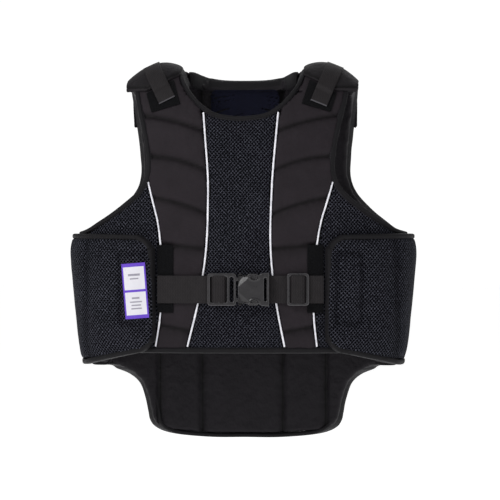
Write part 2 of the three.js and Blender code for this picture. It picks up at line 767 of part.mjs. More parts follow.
const half = BUCKLE_HEIGHT / 2;
const plugLift = (SOCKET_WALL - FRAME_WALL) / 2;

// Plug: a ladder frame for the webbing and two sprung prongs that reach into the socket
function plug() {
  const end = -FRAME_LENGTH - 12;
  const window1 = roundedBox(end + FRAME_BAR, end + FRAME_LENGTH / 2 - 1, -half + 4, half - 4, 1.5);
  const window2 = roundedBox(end + FRAME_LENGTH / 2 + 2, end + FRAME_LENGTH - FRAME_BAR, -half + 4, half - 4, 1.5);
  const window3 = roundedBox(end + FRAME_LENGTH, -CLEARANCE - 6, -half + 5, half - 5, 1.5);
  const frame = solid(plate(roundedBox(end, -3, -half, half, 3.5), [window1, window2, window3], FRAME_WALL));
  let whole = frame;
  for (const up of [-1, 1]) {
    const outer = half - 4;
    const inner = outer - PRONG_WIDTH;
    const button = outer + 3.4;
    const reach = PRONG_REACH;
    const line = [spot(-5, inner), spot(reach, inner), spot(reach + 3, inner + 3), spot(reach, button),
      spot(reach - 12, button), spot(reach - 15, outer - 1), spot(-5, outer - 2)];
    const prong = up > 0 ? line : line.map((p) => spot(p.x, -p.y)).reverse();
    whole = whole.add(solid(plate(prong, [], FRAME_WALL)));
  }
  return whole.translate([0, -plugLift, 0]);
}

// Socket: a hollow shell with a window on each side where the prongs' buttons stand out
function socket() {
  const length = SOCKET_LENGTH;
  const waist = half - 4.5;
  const upper = [spot(0, half - 1), spot(3, half), spot(7, waist + 1.5), spot(length - 9, waist + 1.5),
    spot(length - 4, half), spot(length + SOCKET_EAR, half + 1), spot(length + SOCKET_EAR, half - 4)];
  const lower = upper.map((point) => spot(point.x, -point.y)).reverse();
  const outline = [...upper, ...lower];
  const slot = roundedBox(length - 1, length + SOCKET_EAR - 3, -half + 6, half - 6, 1);
  const shell = solid(plate(outline, [slot], SOCKET_WALL));
  const room = plate([spot(-4, -half + 2.6), spot(length - 6, -half + 2.6), spot(length - 6, half - 2.6),
    spot(-4, half - 2.6)], [], FRAME_WALL + 2 * CLEARANCE);
  room.translate(0, -plugLift + CLEARANCE, 0);
  const windows = plate([spot(9, -half - 3), spot(length - 5, -half - 3), spot(length - 5, half + 3),
    spot(9, half + 3)], [], FRAME_WALL + 2 * CLEARANCE);
  windows.translate(0, -plugLift + CLEARANCE, 0);
  return shell.subtract(solid(room)).subtract(solid(windows));
}

function slider() {
  const end = SLIDER_LENGTH / 2;
  const outline = roundedBox(-end, end, -half, half, 3.5);
  const left = roundedBox(-end + FRAME_BAR, -1.6, -half + 3.5, half - 3.5, 1.5);
  const right = roundedBox(1.6, end - FRAME_BAR, -half + 3.5, half - 3.5, 1.5);
  return plate(outline, [left, right], FRAME_WALL * 0.7);
}

const group = new THREE.Group();

function add(name, geometry, finish, parent = group) {
  const material = new THREE.MeshStandardMaterial(colours[finish]);
  const mesh = new THREE.Mesh(geometry, material);
  mesh.name = name;
  parent.add(mesh);
  return mesh;
}

const sides = [{ name: 'left', side: -1 }, { name: 'right', side: 1 }];

add('front_core', geometryOf(frontCore), 'foam');
add('back_core', geometryOf(backCore), 'foam');
add('front_centre_mesh', geometryOf(centreMesh), 'mesh');
add('front_neck_binding', geometryOf(binding(frontTape, frontNeck, 'front')), 'tape');
add('front_hem_binding', geometryOf(binding(frontTape, frontHem, 'front')), 'tape');
add('back_neck_binding', geometryOf(binding(backTape, backNeck, 'back')), 'tape');
add('tail_binding', geometryOf(binding(backTape, tailHem, 'back')), 'tape');

// Back cover: a mesh panel between two plain ones, with a narrow seam between them
const backCover = backWall(COVER_IN, COVER_OUT).intersect(backInside);
const backSeam = BACK_PANEL_WIDTH / 2;

function backStrip(from, to) {
  const outline = [spot(from, -BEYOND * 2), spot(to, -BEYOND * 2), spot(to, BEYOND), spot(from, BEYOND)];
  return geometryOf(backCover.intersect(cutter(outline, 'back')));
}

add('back_centre_mesh', backStrip(-backSeam + CLEARANCE, backSeam - CLEARANCE), 'mesh');
add('back_left_panel', backStrip(-BEYOND, -backSeam), 'nylon');
add('back_right_panel', backStrip(backSeam, BEYOND), 'nylon');

for (const { name, side } of sides) {
  const arm = side > 0 ? frontArm : flipped(frontArm);
  const armBack = side > 0 ? backArm : flipped(backArm);
  add(`front_${name}_side_mesh`, geometryOf(meshWall.intersect(sideRegion(side))), 'mesh');
  add(`front_${name}_chest`, geometryOf(chestPanel(side)), 'nylon');
  add(`front_${name}_armhole_binding`, geometryOf(binding(frontTape, arm, 'front')), 'tape');
  add(`back_${name}_armhole_binding`, geometryOf(binding(backTape, armBack, 'back')), 'tape');
  add(`piping_inner_${name}`, piping(innerSeam, CENTRE_PANEL_WIDTH, frontNeck, side), 'piping');
  add(`piping_outer_${name}`, piping(outerSeam, WAIST_PANEL_WIDTH, arm, side), 'piping');
  add(`${name}_wing`, geometryOf(wing(side)), 'mesh');
  add(`${name}_wing_binding`, geometryOf(wingBinding(side)), 'tape');
  const loopX = side * (WING_OPENING / 2 - 1 - WAIST_LOOP_WIDTH / 2);
  const loopZ = -WAIST_LOOP_TOP - WAIST_LOOP_HEIGHT / 2;
  const loop = laid(loopX, loopZ, WAIST_LOOP_WIDTH, WAIST_LOOP_HEIGHT, 0, PATCH_IN, PATCH_OUT, 2, 4);
  add(`${name}_waist_loop`, loop, 'loop');
  add(`${name}_shoulder_loop`, shoulderLoop(side), 'loop');
  add(`${name}_shoulder_tab`, shoulderTab(side), 'nylon');
  add(`${name}_shoulder_strap`, shoulderStrap(straps.find((row) => row.side === side)), 'webbing');
}

// Belt: webbing from each wing to the buckle in the middle
const beltEnd = WING_OPENING / 2 - 1;
const beltLeftEnd = BUCKLE_PLACE - 14;
const beltRightStart = BUCKLE_PLACE + SOCKET_LENGTH + SOCKET_EAR - 4;

// Webbing lies on the patches and rises to the bar of the plug, which sits in the middle of the socket
function belt(from, to, rise) {
  const columns = 10;
  return bent(columns, 1, (column, row, share) => {
    const x = lerp(from, to, column / columns);
    const near = THREE.MathUtils.smoothstep(x, beltLeftEnd - 1.7 * FRAME_LENGTH, beltLeftEnd - FRAME_LENGTH);
    const z = -BELT_HEIGHT + (row - 0.5) * BELT_WIDTH;
    return facePoint(x, z, lerp(BELT_IN, BELT_OUT, share) + rise * near);
  });
}

add('belt_left', belt(-beltEnd, beltLeftEnd, plugLift), 'webbing');
add('belt_right', belt(beltRightStart, beltEnd, 0), 'webbing');

const buckle = new THREE.Group();
const frontPlane = facePoint(0, -BELT_HEIGHT, BELT_OUT + 3 * CLEARANCE).y;
buckle.position.set(BUCKLE_PLACE, frontPlane, -BELT_HEIGHT);
group.add(buckle);
add('buckle_plug', geometryOf(plug()), 'plastic', buckle);
add('buckle_socket', geometryOf(socket()), 'plastic', buckle);

const sliderSpot = facePoint(SLIDER_PLACE, -BELT_HEIGHT, BELT_OUT + 3 * CLEARANCE);
const sliderNext = facePoint(SLIDER_PLACE + 5, -BELT_HEIGHT, BELT_OUT + 3 * CLEARANCE);
const beltSlider = add('belt_slider', slider(), 'plastic');
beltSlider.position.copy(sliderSpot);
beltSlider.rotation.z = Math.atan2(sliderNext.y - sliderSpot.y, sliderNext.x - sliderSpot.x);

// Label on the left wing, lining patch inside the back
const labelTurn = THREE.MathUtils.degToRad(LABEL_TURN);
add('woven_label', laid(-LABEL_PLACE, -BELT_HEIGHT - 2, LABEL_WIDTH, LABEL_HEIGHT, labelTurn,
  WING_OUT + CLEARANCE, WING_OUT + CLEARANCE + LABEL_WALL, 3, 4), 'label');
const liningOutline = roundedBox(-LINING_WIDTH / 2, LINING_WIDTH / 2, -LINING_DROP - LINING_HEIGHT,
  -LINING_DROP, LINING_CORNER);
const lining = backWall(-CLEARANCE - LINING_WALL, -CLEARANCE).intersect(cutter(liningOutline, 'back'));
add('neck_lining', geometryOf(lining), 'lining');

export default group;
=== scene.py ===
"""Equestrian body protector: fabric, tape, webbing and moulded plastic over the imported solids.

Lengths in the classes are millimetres, as in the part's source, and meshes are made in metres.
X is right as the front is seen, the front faces -Y and Z is up.
"""

import logging
import math
from collections.abc import Callable, Iterator, Sequence
from contextlib import contextmanager
from dataclasses import dataclass, field
from enum import Enum
from functools import partialmethod

import bmesh
import bpy
import numpy as np
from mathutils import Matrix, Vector, bvhtree, kdtree, noise


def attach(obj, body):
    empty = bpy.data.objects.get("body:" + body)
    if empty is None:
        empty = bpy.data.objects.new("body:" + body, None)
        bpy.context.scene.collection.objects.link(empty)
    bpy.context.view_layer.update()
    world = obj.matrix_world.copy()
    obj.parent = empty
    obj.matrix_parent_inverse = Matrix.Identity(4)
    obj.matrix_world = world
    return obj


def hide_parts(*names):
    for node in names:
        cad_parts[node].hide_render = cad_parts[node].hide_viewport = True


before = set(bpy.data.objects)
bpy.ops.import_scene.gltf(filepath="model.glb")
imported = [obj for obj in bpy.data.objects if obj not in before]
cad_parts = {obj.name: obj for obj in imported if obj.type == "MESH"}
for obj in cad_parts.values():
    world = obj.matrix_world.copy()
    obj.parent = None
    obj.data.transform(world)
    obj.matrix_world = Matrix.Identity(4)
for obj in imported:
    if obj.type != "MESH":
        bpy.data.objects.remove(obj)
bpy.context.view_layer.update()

log = logging.getLogger("body_protector")

MM = 0.001
PATTERN = 0.01  # UV units for one millimetre of the flat cut
STEP = 3.0  # distance between the rows of a rolled tape
SOFT_STOP = 0.6  # the last millimetres before a wall's limit, in which it slows down
FACING = (0.35, 0.75)  # how squarely a vertex faces out for it to belong to the outer face
SLOW_WAVE, QUICK_WAVE = 46, 17  # wave lengths of the fabric's unevenness
CLOTH_FRAMES = 20
TORSO_HALVINGS = 34
LEVEL_HALVINGS = 26
NEAR_CREST = 40  # a tape that ends this close to the crest is drawn up to it
CREST_LEVEL = 0.9995  # an arch level this high counts as the crest
Array = np.ndarray
Triple = tuple[float, float, float]
Pairs = tuple[tuple[float, float], ...]
Socket = bpy.types.NodeSocket
Piece = bpy.types.Object
Material = bpy.types.Material
Relief = Callable[["Wall"], Array]


class Side(Enum):
    """The two sides of the garment, as the front is seen."""

    LEFT = -1
    RIGHT = 1

    @property
    def label(self) -> str:
        """The side's name in the names of pieces."""
        return self.name.lower()


class Layer(float, Enum):
    """Distances from the hollow, in millimetres, at which the layers begin and end."""

    LINING = 0.0
    CORE_OUT = 16.0
    COVER_IN = 16.3
    COVER_OUT = 22.0
    PATCH_IN = 22.6
    PATCH_OUT = 24.3
    BELT_IN = 24.6
    WING_OUT = 36.0
    TAB_OUT = 27.2


def smoothstep(value: Array, low: float, high: float) -> Array:
    """A smooth rise from 0 at low to 1 at high."""
    share = np.clip((np.asarray(value, float) - low) / (high - low), 0, 1)
    return share * share * (3 - 2 * share)


def signed_power(value: Array, exponent: float) -> Array:
    """A power that keeps the sign of its base."""
    return np.sign(value) * np.abs(value) ** exponent


def bell(value: Array, width: float) -> Array:
    """A bump that is 1 at 0 and has nearly gone at twice its width."""
    return np.exp(-((value / width) ** 2))


def uneven(fast: Array, sway: float, slow: Array) -> Array:
    """A wave whose length changes along the way: the slow wave sways the fast one."""
    return np.sin(fast + sway * np.sin(slow))


def run_along(line: Array) -> Array:
    """Distance from the start of a line to each of its points."""
    return np.concatenate([[0], np.cumsum(np.linalg.norm(np.diff(line, axis=0), axis=1))])


def eased(value: Array, places: Sequence[float], heights: Sequence[float]) -> Array:
    """Smooth interpolation through a table, without the corners of a straight one."""
    xs, ys = np.asarray(places, float), np.asarray(heights, float)
    slopes = np.gradient(ys, xs)
    at = np.clip(np.asarray(value, float), xs[0], xs[-1])
    row = np.clip(np.searchsorted(xs, at, "right") - 1, 0, len(xs) - 2)
    run = xs[row + 1] - xs[row]
    t = (at - xs[row]) / run
    start = (1 + 2 * t) * (1 - t) ** 2 * ys[row] + t * (1 - t) ** 2 * run * slopes[row]
    end = t * t * (3 - 2 * t) * ys[row + 1] + t * t * (t - 1) * run * slopes[row + 1]
    return start + end


@dataclass(frozen=True)
class Torso:
    """The curved body that every layer is bent round, with the measures of the part's source."""

    half_width: float = 208.0
    front_depth: float = 82.0
    back_depth: float = 71.0
    chest_line: float = 178.0
    section_power: float = 2.6
    arch_power: float = 2.3
    crest: float = 110.0
    shoulder_end: float = 161.0
    shoulder_fall: float = 25.0
    collar_fall: float = 6.0
    collar_half: float = 85.0
    collar_stand: float = 0.8
    downs: tuple[float, ...] = (0, 178, 238.6, 288.1, 380, 509)
    widths: tuple[float, ...] = (1, 1, 1, 0.98, 0.94, 0.9)
    fronts: tuple[float, ...] = (1, 1, 0.99, 0.97, 0.96, 0.96)
    backs: tuple[float, ...] = (1, 1, 0.95, 0.92, 0.94, 1.04)

    def fall(self, x: Array) -> Array:
        """How far the shoulder drops away from its crest at a place across."""
        across = np.clip(np.abs(x), self.collar_half, self.shoulder_end * 1.1)
        outer = across > self.crest
        run = np.where(outer, self.shoulder_end - self.crest, self.crest - self.collar_half)
        drop = np.where(outer, self.shoulder_fall, self.collar_fall)
        return drop * ((across - self.crest) / run) ** 2

    def stand(self, x: Array) -> Array:
        """How upright the back stands at the collar instead of arching forward."""
        rise = smoothstep(np.abs(x), self.collar_half * 0.6, self.collar_half * 0.88)
        return self.collar_stand * (1 - rise)

    def reach(self, level: Array, back: Array) -> tuple[Array, Array]:
        """Half width and depth of the hollow at a level."""
        down = np.maximum(-level, self.chest_line)
        width = self.half_width * eased(down, self.downs, self.widths)
        front = self.front_depth * eased(down, self.downs, self.fronts)
        rear = self.back_depth * eased(down, self.downs, self.backs)
        return width, np.where(back, rear, front)

    def place(self, turn: Array, level: Array, off: Array) -> Array:
        """Points of the body.

        Args:
            turn: Angle round from the middle of the front.
            level: Height below the shoulders, or a share of the arch from 0 to 1.
            off: Distance outwards from the hollow.

        Returns:
            One row of X, Y and Z for each point, in millimetres.
        """
        turn, level, off = np.broadcast_arrays(*(np.asarray(a, float) for a in (turn, level, off)))
        sine, cosine = np.sin(turn), np.cos(turn)
        back = cosine <= 0
        width, depth = self.reach(level, back)
        x = (width + off) * signed_power(sine, 2 / self.section_power)
        y = -(depth + off) * signed_power(cosine, 2 / self.section_power)
        arch = np.clip(level, 0, 1) * math.pi / 2
        curl = np.maximum(np.cos(arch), 0) ** (2 / self.arch_power)
        lean = np.where(back, self.stand(x), 0)
        rise = np.sin(arch) ** (2 / self.arch_power)
        over = (self.chest_line + off) * rise - self.chest_line - self.fall(x) * np.sin(arch) ** 4
        z = np.where(level >= 0, over, level)
        return np.stack([x, y * (curl + (1 - curl) * lean), z], axis=-1)

    def outward(self, turn: Array, level: Array, off: Array) -> Array:
        """The direction straight out of the body."""
        arched = level >= 0
        tilt, drop, nudge = 0.004, 0.5, 0.002
        low = np.where(arched, np.clip(level - tilt, 0, 1), level - drop)
        high = np.where(arched, np.clip(level + tilt, 0, 1), level + drop)
        round_it = self.place(turn + nudge, level, off) - self.place(turn - nudge, level, off)
        up = self.place(turn, high, off) - self.place(turn, low, off)
        out = np.cross(round_it, up)
        away = self.place(turn, level, np.asarray(off) + 1) - self.place(turn, level, off)
        out *= np.where(np.sum(out * away, axis=-1, keepdims=True) < 0, -1.0, 1.0)
        return out / np.maximum(np.linalg.norm(out, axis=-1, keepdims=True), 1e-9)

    def turn_at(self, x: Array, off: Array, level: Array) -> Array:
        """The turn on the front at which the body has a given place across."""
        width, _ = self.reach(np.minimum(level, 0), np.zeros_like(np.asarray(x, float), bool))
        share = np.minimum(np.abs(x) / (width + off), 1)
        return np.sign(x) * np.arcsin(share ** (self.section_power / 2))

    def level_at(self, x: Array, z: Array, off: Array) -> Array:
        """The level at which a point across the body has height z, found by halving."""
        x, z, off = np.broadcast_arrays(*(np.asarray(a, float) for a in (x, z, off)))
        low, high = np.zeros_like(z), np.ones_like(z)
        turn = self.turn_at(x, off, z)
        for _ in range(LEVEL_HALVINGS):
            middle = (low + high) / 2
            below = self.place(turn, middle, off)[..., 2] < z
            low, high = np.where(below, middle, low), np.where(below, high, middle)
        return np.where(z <= -self.chest_line, z, low)

    def face(self, x: Array, z: Array, off: Array, back: bool = False) -> Array:
        """Points on the front or the back by their place across and their height."""
        turn = self.turn_at(x, off, z)
        return self.place(math.pi - turn if back else turn, self.level_at(x, z, off), off)

    def locate(self, points: Array) -> tuple[Array, Array, Array]:
        """Turn, level and distance outwards of points near the body.

        Args:
            points: Rows of X, Y and Z in millimetres.

        Returns:
            Turns, levels and distances, found by halving.
        """
        x, y, z = points[:, 0], points[:, 1], points[:, 2]
        back = y > 0
        straight = z <= -self.chest_line
        width, depth = self.reach(np.minimum(z, 0), back)
        power = self.section_power
        low, high = np.full_like(z, -12.0), np.full_like(z, 70.0)
        lean = np.where(back, self.stand(x), 0)
        for _ in range(TORSO_HALVINGS):
            off = (low + high) / 2
            across = np.minimum(np.abs(x) / (width + off), 1)
            section = (np.abs(x) / (width + off)) ** power + (np.abs(y) / (depth + off)) ** power
            full = (depth + off) * np.maximum(1 - across**power, 1e-9) ** (1 / power)
            curl = np.clip((np.abs(y) / full - lean) / (1 - lean), 0, 1)
            arch = np.arccos(curl ** (self.arch_power / 2))
            height = (self.chest_line + off) * np.sin(arch) ** (2 / self.arch_power) - self.chest_line
            height -= self.fall(x) * np.sin(arch) ** 4
            outside = np.where(straight, section > 1, height < z)
            low, high = np.where(outside, off, low), np.where(outside, high, off)
        off = (low + high) / 2
        sine = np.minimum(np.abs(x) / (width + off), 1) ** (power / 2)
        turn = np.sign(x) * np.arcsin(sine)
        level = np.where(straight, z, np.clip(arch / (math.pi / 2), 0, 1))
        return np.where(back, math.pi - turn, turn), level, off

    def rulers(self) -> tuple[Array, Array, Array, Array]:
        """Turns with their girth, and levels of the arch with their length, in millimetres."""
        turns = np.linspace(-1.2 * math.pi, 1.6 * math.pi, 900)
        ring = self.place(turns, -self.chest_line, Layer.COVER_OUT)
        girth = run_along(ring)
        levels = np.linspace(0, 1, 240)
        rib = self.place(math.radians(24), levels, Layer.COVER_OUT)
        length = run_along(rib)
        return turns, girth - np.interp(0, turns, girth), levels, length - self.chest_line

    def pattern(self, turn: Array, level: Array) -> Array:
        """Places on the flat cut of the fabric: girth and length, in millimetres."""
        turns, girth, levels, length = self.rulers()
        up = np.where(level >= 0, np.interp(level, levels, length), level)
        return np.stack([np.interp(turn, turns, girth), up], axis=-1)

    def worn(self, places: Array) -> tuple[Array, Array]:
        """Turns and levels of places on the flat cut."""
        turns, girth, levels, length = self.rulers()
        up = places[..., 1]
        level = np.where(up > -self.chest_line, np.interp(up, length, levels), up)
        return np.interp(places[..., 0], girth, turns), level


TORSO = Torso()


class Finish:
    """A material made of nodes, with short names for the nodes that the finishes share."""

    def __init__(self, name: str) -> None:
        """Starts the material with its shader and output."""
        self.material = bpy.data.materials.new(name)
        self.material.use_nodes = True
        self.tree = self.material.node_tree
        self.tree.nodes.clear()
        self.shader = self.tree.nodes.new("ShaderNodeBsdfPrincipled")
        output = self.tree.nodes.new("ShaderNodeOutputMaterial")
        self.tree.links.new(self.shader.outputs["BSDF"], output.inputs["Surface"])

    def put(self, socket: Socket, value: object) -> None:
        """Sets a socket to a number or colour, or links it to another socket."""
        if isinstance(value, Socket):
            self.tree.links.new(value, socket)
        elif isinstance(value, (tuple, list)) and len(value) == 3 and socket.type == "RGBA":
            socket.default_value = (*value, 1)
        else:
            socket.default_value = value

    def math(self, operation: str, *values: object) -> Socket:
        """One Math node."""
        node = self.tree.nodes.new("ShaderNodeMath")
        node.operation = operation
        for socket, value in zip(node.inputs, values):
            self.put(socket, value)
        return node.outputs[0]

    times = partialmethod(math, "MULTIPLY")
    fused = partialmethod(math, "MULTIPLY_ADD")
    plus = partialmethod(math, "ADD")
    minus = partialmethod(math, "SUBTRACT")
    over = partialmethod(math, "DIVIDE")
    most = partialmethod(math, "MAXIMUM")

    def gap(self, value: Socket, middle: float) -> Socket:
        """How far a value is from the middle."""
        return self.math("ABSOLUTE", self.minus(value, middle))

    def colour(self, value: Socket) -> None:
        """Sets the base colour."""
        self.put(self.shader.inputs["Base Color"], value)

    def normal(self, value: Socket) -> None:
        """Sets the bumped normal."""
        self.put(self.shader.inputs["Normal"], value)

    def coordinates(self, uv: bool) -> Socket:
        """The piece's own pattern coordinates, or its place in the object."""
        node = self.tree.nodes.new("ShaderNodeTexCoord")
        return node.outputs["UV" if uv else "Object"]

    def mark(self, name: str) -> Socket:
        """A number that the mesh carries at its vertices, 0 where it has none."""
        node = self.tree.nodes.new("ShaderNodeAttribute")
        node.attribute_name = name
        return node.outputs["Fac"]

    def grain(self, vector: Socket, scale: float, detail: float = 2, rough: float = 0.5) -> Socket:
        """Noise from 0 to 1."""
        node = self.tree.nodes.new("ShaderNodeTexNoise")
        self.put(node.inputs["Vector"], vector)
        node.inputs["Scale"].default_value = scale
        node.inputs["Detail"].default_value = detail
        node.inputs["Roughness"].default_value = rough
        return node.outputs["Fac"]

    def ramp(self, value: Socket, low: float, high: float, start: float = 0, end: float = 1) -> Socket:
        """A smooth change from start to end as value goes from low to high."""
        node = self.tree.nodes.new("ShaderNodeMapRange")
        node.interpolation_type = "SMOOTHSTEP"
        for socket, number in zip(node.inputs, (value, low, high, start, end)):
            self.put(socket, number)
        return node.outputs[0]

    def blend(self, share: object, first: object, second: object) -> Socket:
        """A colour between two, by a share."""
        node = self.tree.nodes.new("ShaderNodeMix")
        node.data_type = "RGBA"
        self.put(node.inputs["Factor"], share)
        for name, value in (("A", first), ("B", second)):
            self.put(next(s for s in node.inputs if s.name == name and s.type == "RGBA"), value)
        return next(s for s in node.outputs if s.type == "RGBA")

    def ridge(self, value: Socket) -> Socket:
        """A wave that is 1 at whole numbers and falls to 0 halfway between them."""
        part = self.math("FRACT", value)
        return self.times(self.gap(part, 0.5), 2.0)

    def raised(self, height: Socket, distance: float, strength: float, under: object = None) -> Socket:
        """A bump of a height map."""
        node = self.tree.nodes.new("ShaderNodeBump")
        node.inputs["Strength"].default_value = strength
        node.inputs["Distance"].default_value = distance
        self.put(node.inputs["Height"], height)
        if under is not None:
            self.put(node.inputs["Normal"], under)
        return node.outputs["Normal"]

    def split(self, vector: Socket) -> tuple[Socket, Socket]:
        """The first two parts of a vector."""
        node = self.tree.nodes.new("ShaderNodeSeparateXYZ")
        self.put(node.inputs[0], vector)
        return node.outputs[0], node.outputs[1]

    def cut(self) -> tuple[Socket, Socket, Socket]:
        """The pattern coordinates, and girth and length on the flat cut in millimetres."""
        uv = self.coordinates(True)
        across, along = self.split(uv)
        return uv, self.times(across, 1 / PATTERN), self.times(along, 1 / PATTERN)

    def fabric(self, roughness: float, sheen: float, tint: Triple) -> None:
        """Sets the shader's plain values for a cloth."""
        for name, value in (("Roughness", roughness), ("Sheen Weight", sheen), ("Sheen Roughness", 0.45),
                            ("Sheen Tint", (*tint, 1)), ("Specular IOR Level", 0.12)):
            self.shader.inputs[name].default_value = value


@dataclass(frozen=True)
class Nylon:
    """Matt woven nylon with a fine weave, soft puckers and painted shade in its creases."""

    name: str = "woven_nylon"
    dark: Triple = (0.0085, 0.0066, 0.0082)
    light: Triple = (0.021, 0.0165, 0.0205)
    weave: float = 0.9
    roughness: float = 0.62
    sheen: float = 0.02
    pucker: float = 0.75
    seams: tuple[float, ...] = ()

    def seam(self, f: Finish, crease: Socket) -> Socket:
        """Thin sewn lines along the seams, inside the creases, and the soft painted shade beside them."""
        shade = f.times(crease, 0.5)
        across = f.over(f.split(f.coordinates(False))[0], MM)
        for place in self.seams:
            line = f.ramp(f.gap(across, place), 1.7, 0.7)
            shade = f.most(shade, f.times(line, f.ramp(crease, 0.1, 0.4)))
        return shade

    def make(self) -> Material:
        """Builds the material."""
        f = Finish(self.name)
        uv, across, along = f.cut()
        warp = f.ridge(f.over(across, self.weave))
        weft = f.ridge(f.over(along, self.weave))
        cell = f.most(warp, weft)
        cloud = f.grain(uv, 3.2, 3, 0.6)
        fine = f.grain(uv, 60, 2, 0.6)
        share = f.fused(fine, 0.35, f.times(cloud, 0.75))
        share = f.times(share, f.ramp(cell, 0.2, 1, 0.7, 1.1))
        share = f.fused(f.mark("hem"), 1.1, share)
        cloth = f.blend(share, self.dark, self.light)
        # Painted shade: the crease mark darkens the cloth towards a much darker colour in the creases, at the quilting
        # lines and below them.
        crease_shade_colour = tuple(0.18 * part for part in self.dark)
        crease = f.mark("crease")
        shade = self.seam(f, crease) if self.seams else f.times(crease, 0.85)
        f.colour(f.blend(shade, cloth, crease_shade_colour))
        soft = f.raised(f.grain(uv, 8, 2, 0.5), 0.004, self.pucker * 0.5)
        f.normal(f.raised(cell, 0.00018, 0.5, soft))
        f.fabric(self.roughness, self.sheen, (0.75, 0.72, 0.82))
        return f.material


@dataclass(frozen=True)
class AirMesh:
    """Spacer mesh: raised diamond threads over dark holes."""

    name: str = "air_mesh"
    wide: float = 4.8
    tall: float = 5.4
    hole: Triple = (0.0006, 0.0006, 0.0014)
    thread: Triple = (0.115, 0.118, 0.15)
    sheen: float = 0.02

    def make(self) -> Material:
        """Builds the material."""
        f = Finish(self.name)
        uv, across, along = f.cut()
        sway = f.times(f.minus(f.grain(uv, 9, 1), 0.5), 1.1)
        a = f.over(f.plus(across, sway), self.wide)
        b = f.over(f.plus(along, sway), self.tall)
        strand = f.most(f.ridge(f.plus(a, b)), f.ridge(f.minus(a, b)))
        mask = f.ramp(strand, 0.68, 0.95)
        knot = f.times(f.ridge(f.plus(a, b)), f.ridge(f.minus(a, b)))
        cloud = f.grain(uv, 2.2, 3, 0.6)
        fibre = f.grain(uv, 42, 2, 0.7)
        glint = f.ramp(fibre, 0.38, 0.72)
        # Painted shade: the threads are darkened where the crease mark is high, along the wings' stitched rectangle and
        # bend.
        threads_less_crease_shade = f.minus(mask, f.times(f.mark("crease"), 0.7))
        lit = f.times(threads_less_crease_shade, f.fused(cloud, 0.3, f.times(glint, 0.8)))
        f.colour(f.blend(lit, self.hole, self.thread))
        soft = f.raised(f.grain(uv, 5, 2, 0.5), 0.004, 0.25)
        height = f.fused(knot, 0.3, mask)
        f.normal(f.raised(height, 0.0007, 0.8, soft))
        f.fabric(0.72, self.sheen, (0.7, 0.75, 0.9))
        f.shader.inputs["Specular IOR Level"].default_value = 0.03
        return f.material


@dataclass(frozen=True)
class FineMesh:
    """Small-holed lining mesh."""

    name: str = "fine_mesh"
    pitch: float = 1.7
    hole: Triple = (0.0025, 0.0025, 0.006)
    thread: Triple = (0.007, 0.008, 0.022)

    def make(self) -> Material:
        """Builds the material."""
        f = Finish(self.name)
        uv, across, along = f.cut()
        a = f.ridge(f.over(across, self.pitch))
        b = f.ridge(f.over(along, self.pitch))
        mask = f.ramp(f.most(a, b), 0.35, 0.8)
        share = f.times(mask, f.plus(f.grain(uv, 7, 3), 0.4))
        f.colour(f.blend(share, self.hole, self.thread))
        f.normal(f.raised(mask, 0.0003, 0.6))
        f.fabric(0.8, 0.03, (0.5, 0.55, 0.9))
        return f.material


@dataclass(frozen=True)
class Tape:
    """Twill binding tape with slanting ribs."""

    name: str = "binding_tape"
    dark: Triple = (0.0036, 0.0034, 0.0042)
    light: Triple = (0.0095, 0.0088, 0.0102)
    rib: float = 1.5
    stitch: float = 3.4

    def make(self) -> Material:
        """Builds the material."""
        f = Finish(self.name)
        uv, across, along = f.cut()
        slant = f.ridge(f.over(f.plus(across, along), self.rib))
        cloud = f.grain(uv, 6, 3, 0.6)
        share = f.fused(slant, 0.35, f.times(cloud, 0.8))
        dash = f.ramp(f.ridge(f.over(across, self.stitch)), 0.25, 0.4)
        sewn = f.ramp(f.mark("stitch"), 0.55, 0.8)
        thread = f.times(sewn, dash)
        pressed = f.minus(f.times(thread, 1.4), f.ramp(f.mark("stitch"), 0.1, 0.7))
        cloth = f.blend(share, self.dark, self.light)
        f.colour(f.blend(f.times(thread, 0.7), cloth, (0.03, 0.028, 0.032)))
        soft = f.raised(f.grain(uv, 14, 2), 0.002, 0.3)
        ribs = f.raised(slant, 0.00025, 0.6, soft)
        f.normal(f.raised(pressed, 0.0006, 0.8, ribs))
        f.fabric(0.6, 0.02, (0.8, 0.8, 0.9))
        return f.material


@dataclass(frozen=True)
class Webbing:
    """Heavy webbing with ribs across its length and a pair of denser edges."""

    name: str = "webbing"
    dark: Triple = (0.0058, 0.0052, 0.0056)
    light: Triple = (0.027, 0.0235, 0.0255)
    rib: float = 2.3
    cut: Triple = (0.07, 0.068, 0.075)

    def make(self) -> Material:
        """Builds the material."""
        f = Finish(self.name)
        uv, across, along = f.cut()
        zig = f.times(f.ridge(f.over(along, 5.6)), 1.3)
        rib = f.ridge(f.over(f.plus(across, zig), self.rib))
        thread = f.ridge(f.over(along, 1.1))
        body = f.fused(rib, 0.65, f.times(thread, 0.25))
        share = f.times(body, f.plus(f.grain(uv, 10, 3), 0.45))
        cloth = f.blend(share, self.dark, self.light)
        f.colour(f.blend(f.ramp(along, 58.4, 59.3), cloth, self.cut))
        f.normal(f.raised(body, 0.0005, 0.7))
        f.fabric(0.55, 0.02, (0.8, 0.8, 0.9))
        return f.material


@dataclass(frozen=True)
class LoopPile:
    """Fuzzy black loop pile of the fastening patches."""

    name: str = "loop_pile"
    dark: Triple = (0.0012, 0.0012, 0.0016)
    light: Triple = (0.0075, 0.0075, 0.009)

    def make(self) -> Material:
        """Builds the material."""
        f = Finish(self.name)
        place = f.coordinates(False)
        fuzz = f.grain(place, 900, 3, 0.75)
        tuft = f.grain(place, 260, 2, 0.6)
        share = f.times(f.ramp(fuzz, 0.35, 0.75), f.plus(tuft, 0.25))
        f.colour(f.blend(share, self.dark, self.light))
        f.normal(f.raised(f.plus(fuzz, tuft), 0.0012, 0.9))
        f.fabric(0.95, 0.03, (0.5, 0.5, 0.55))
        return f.material


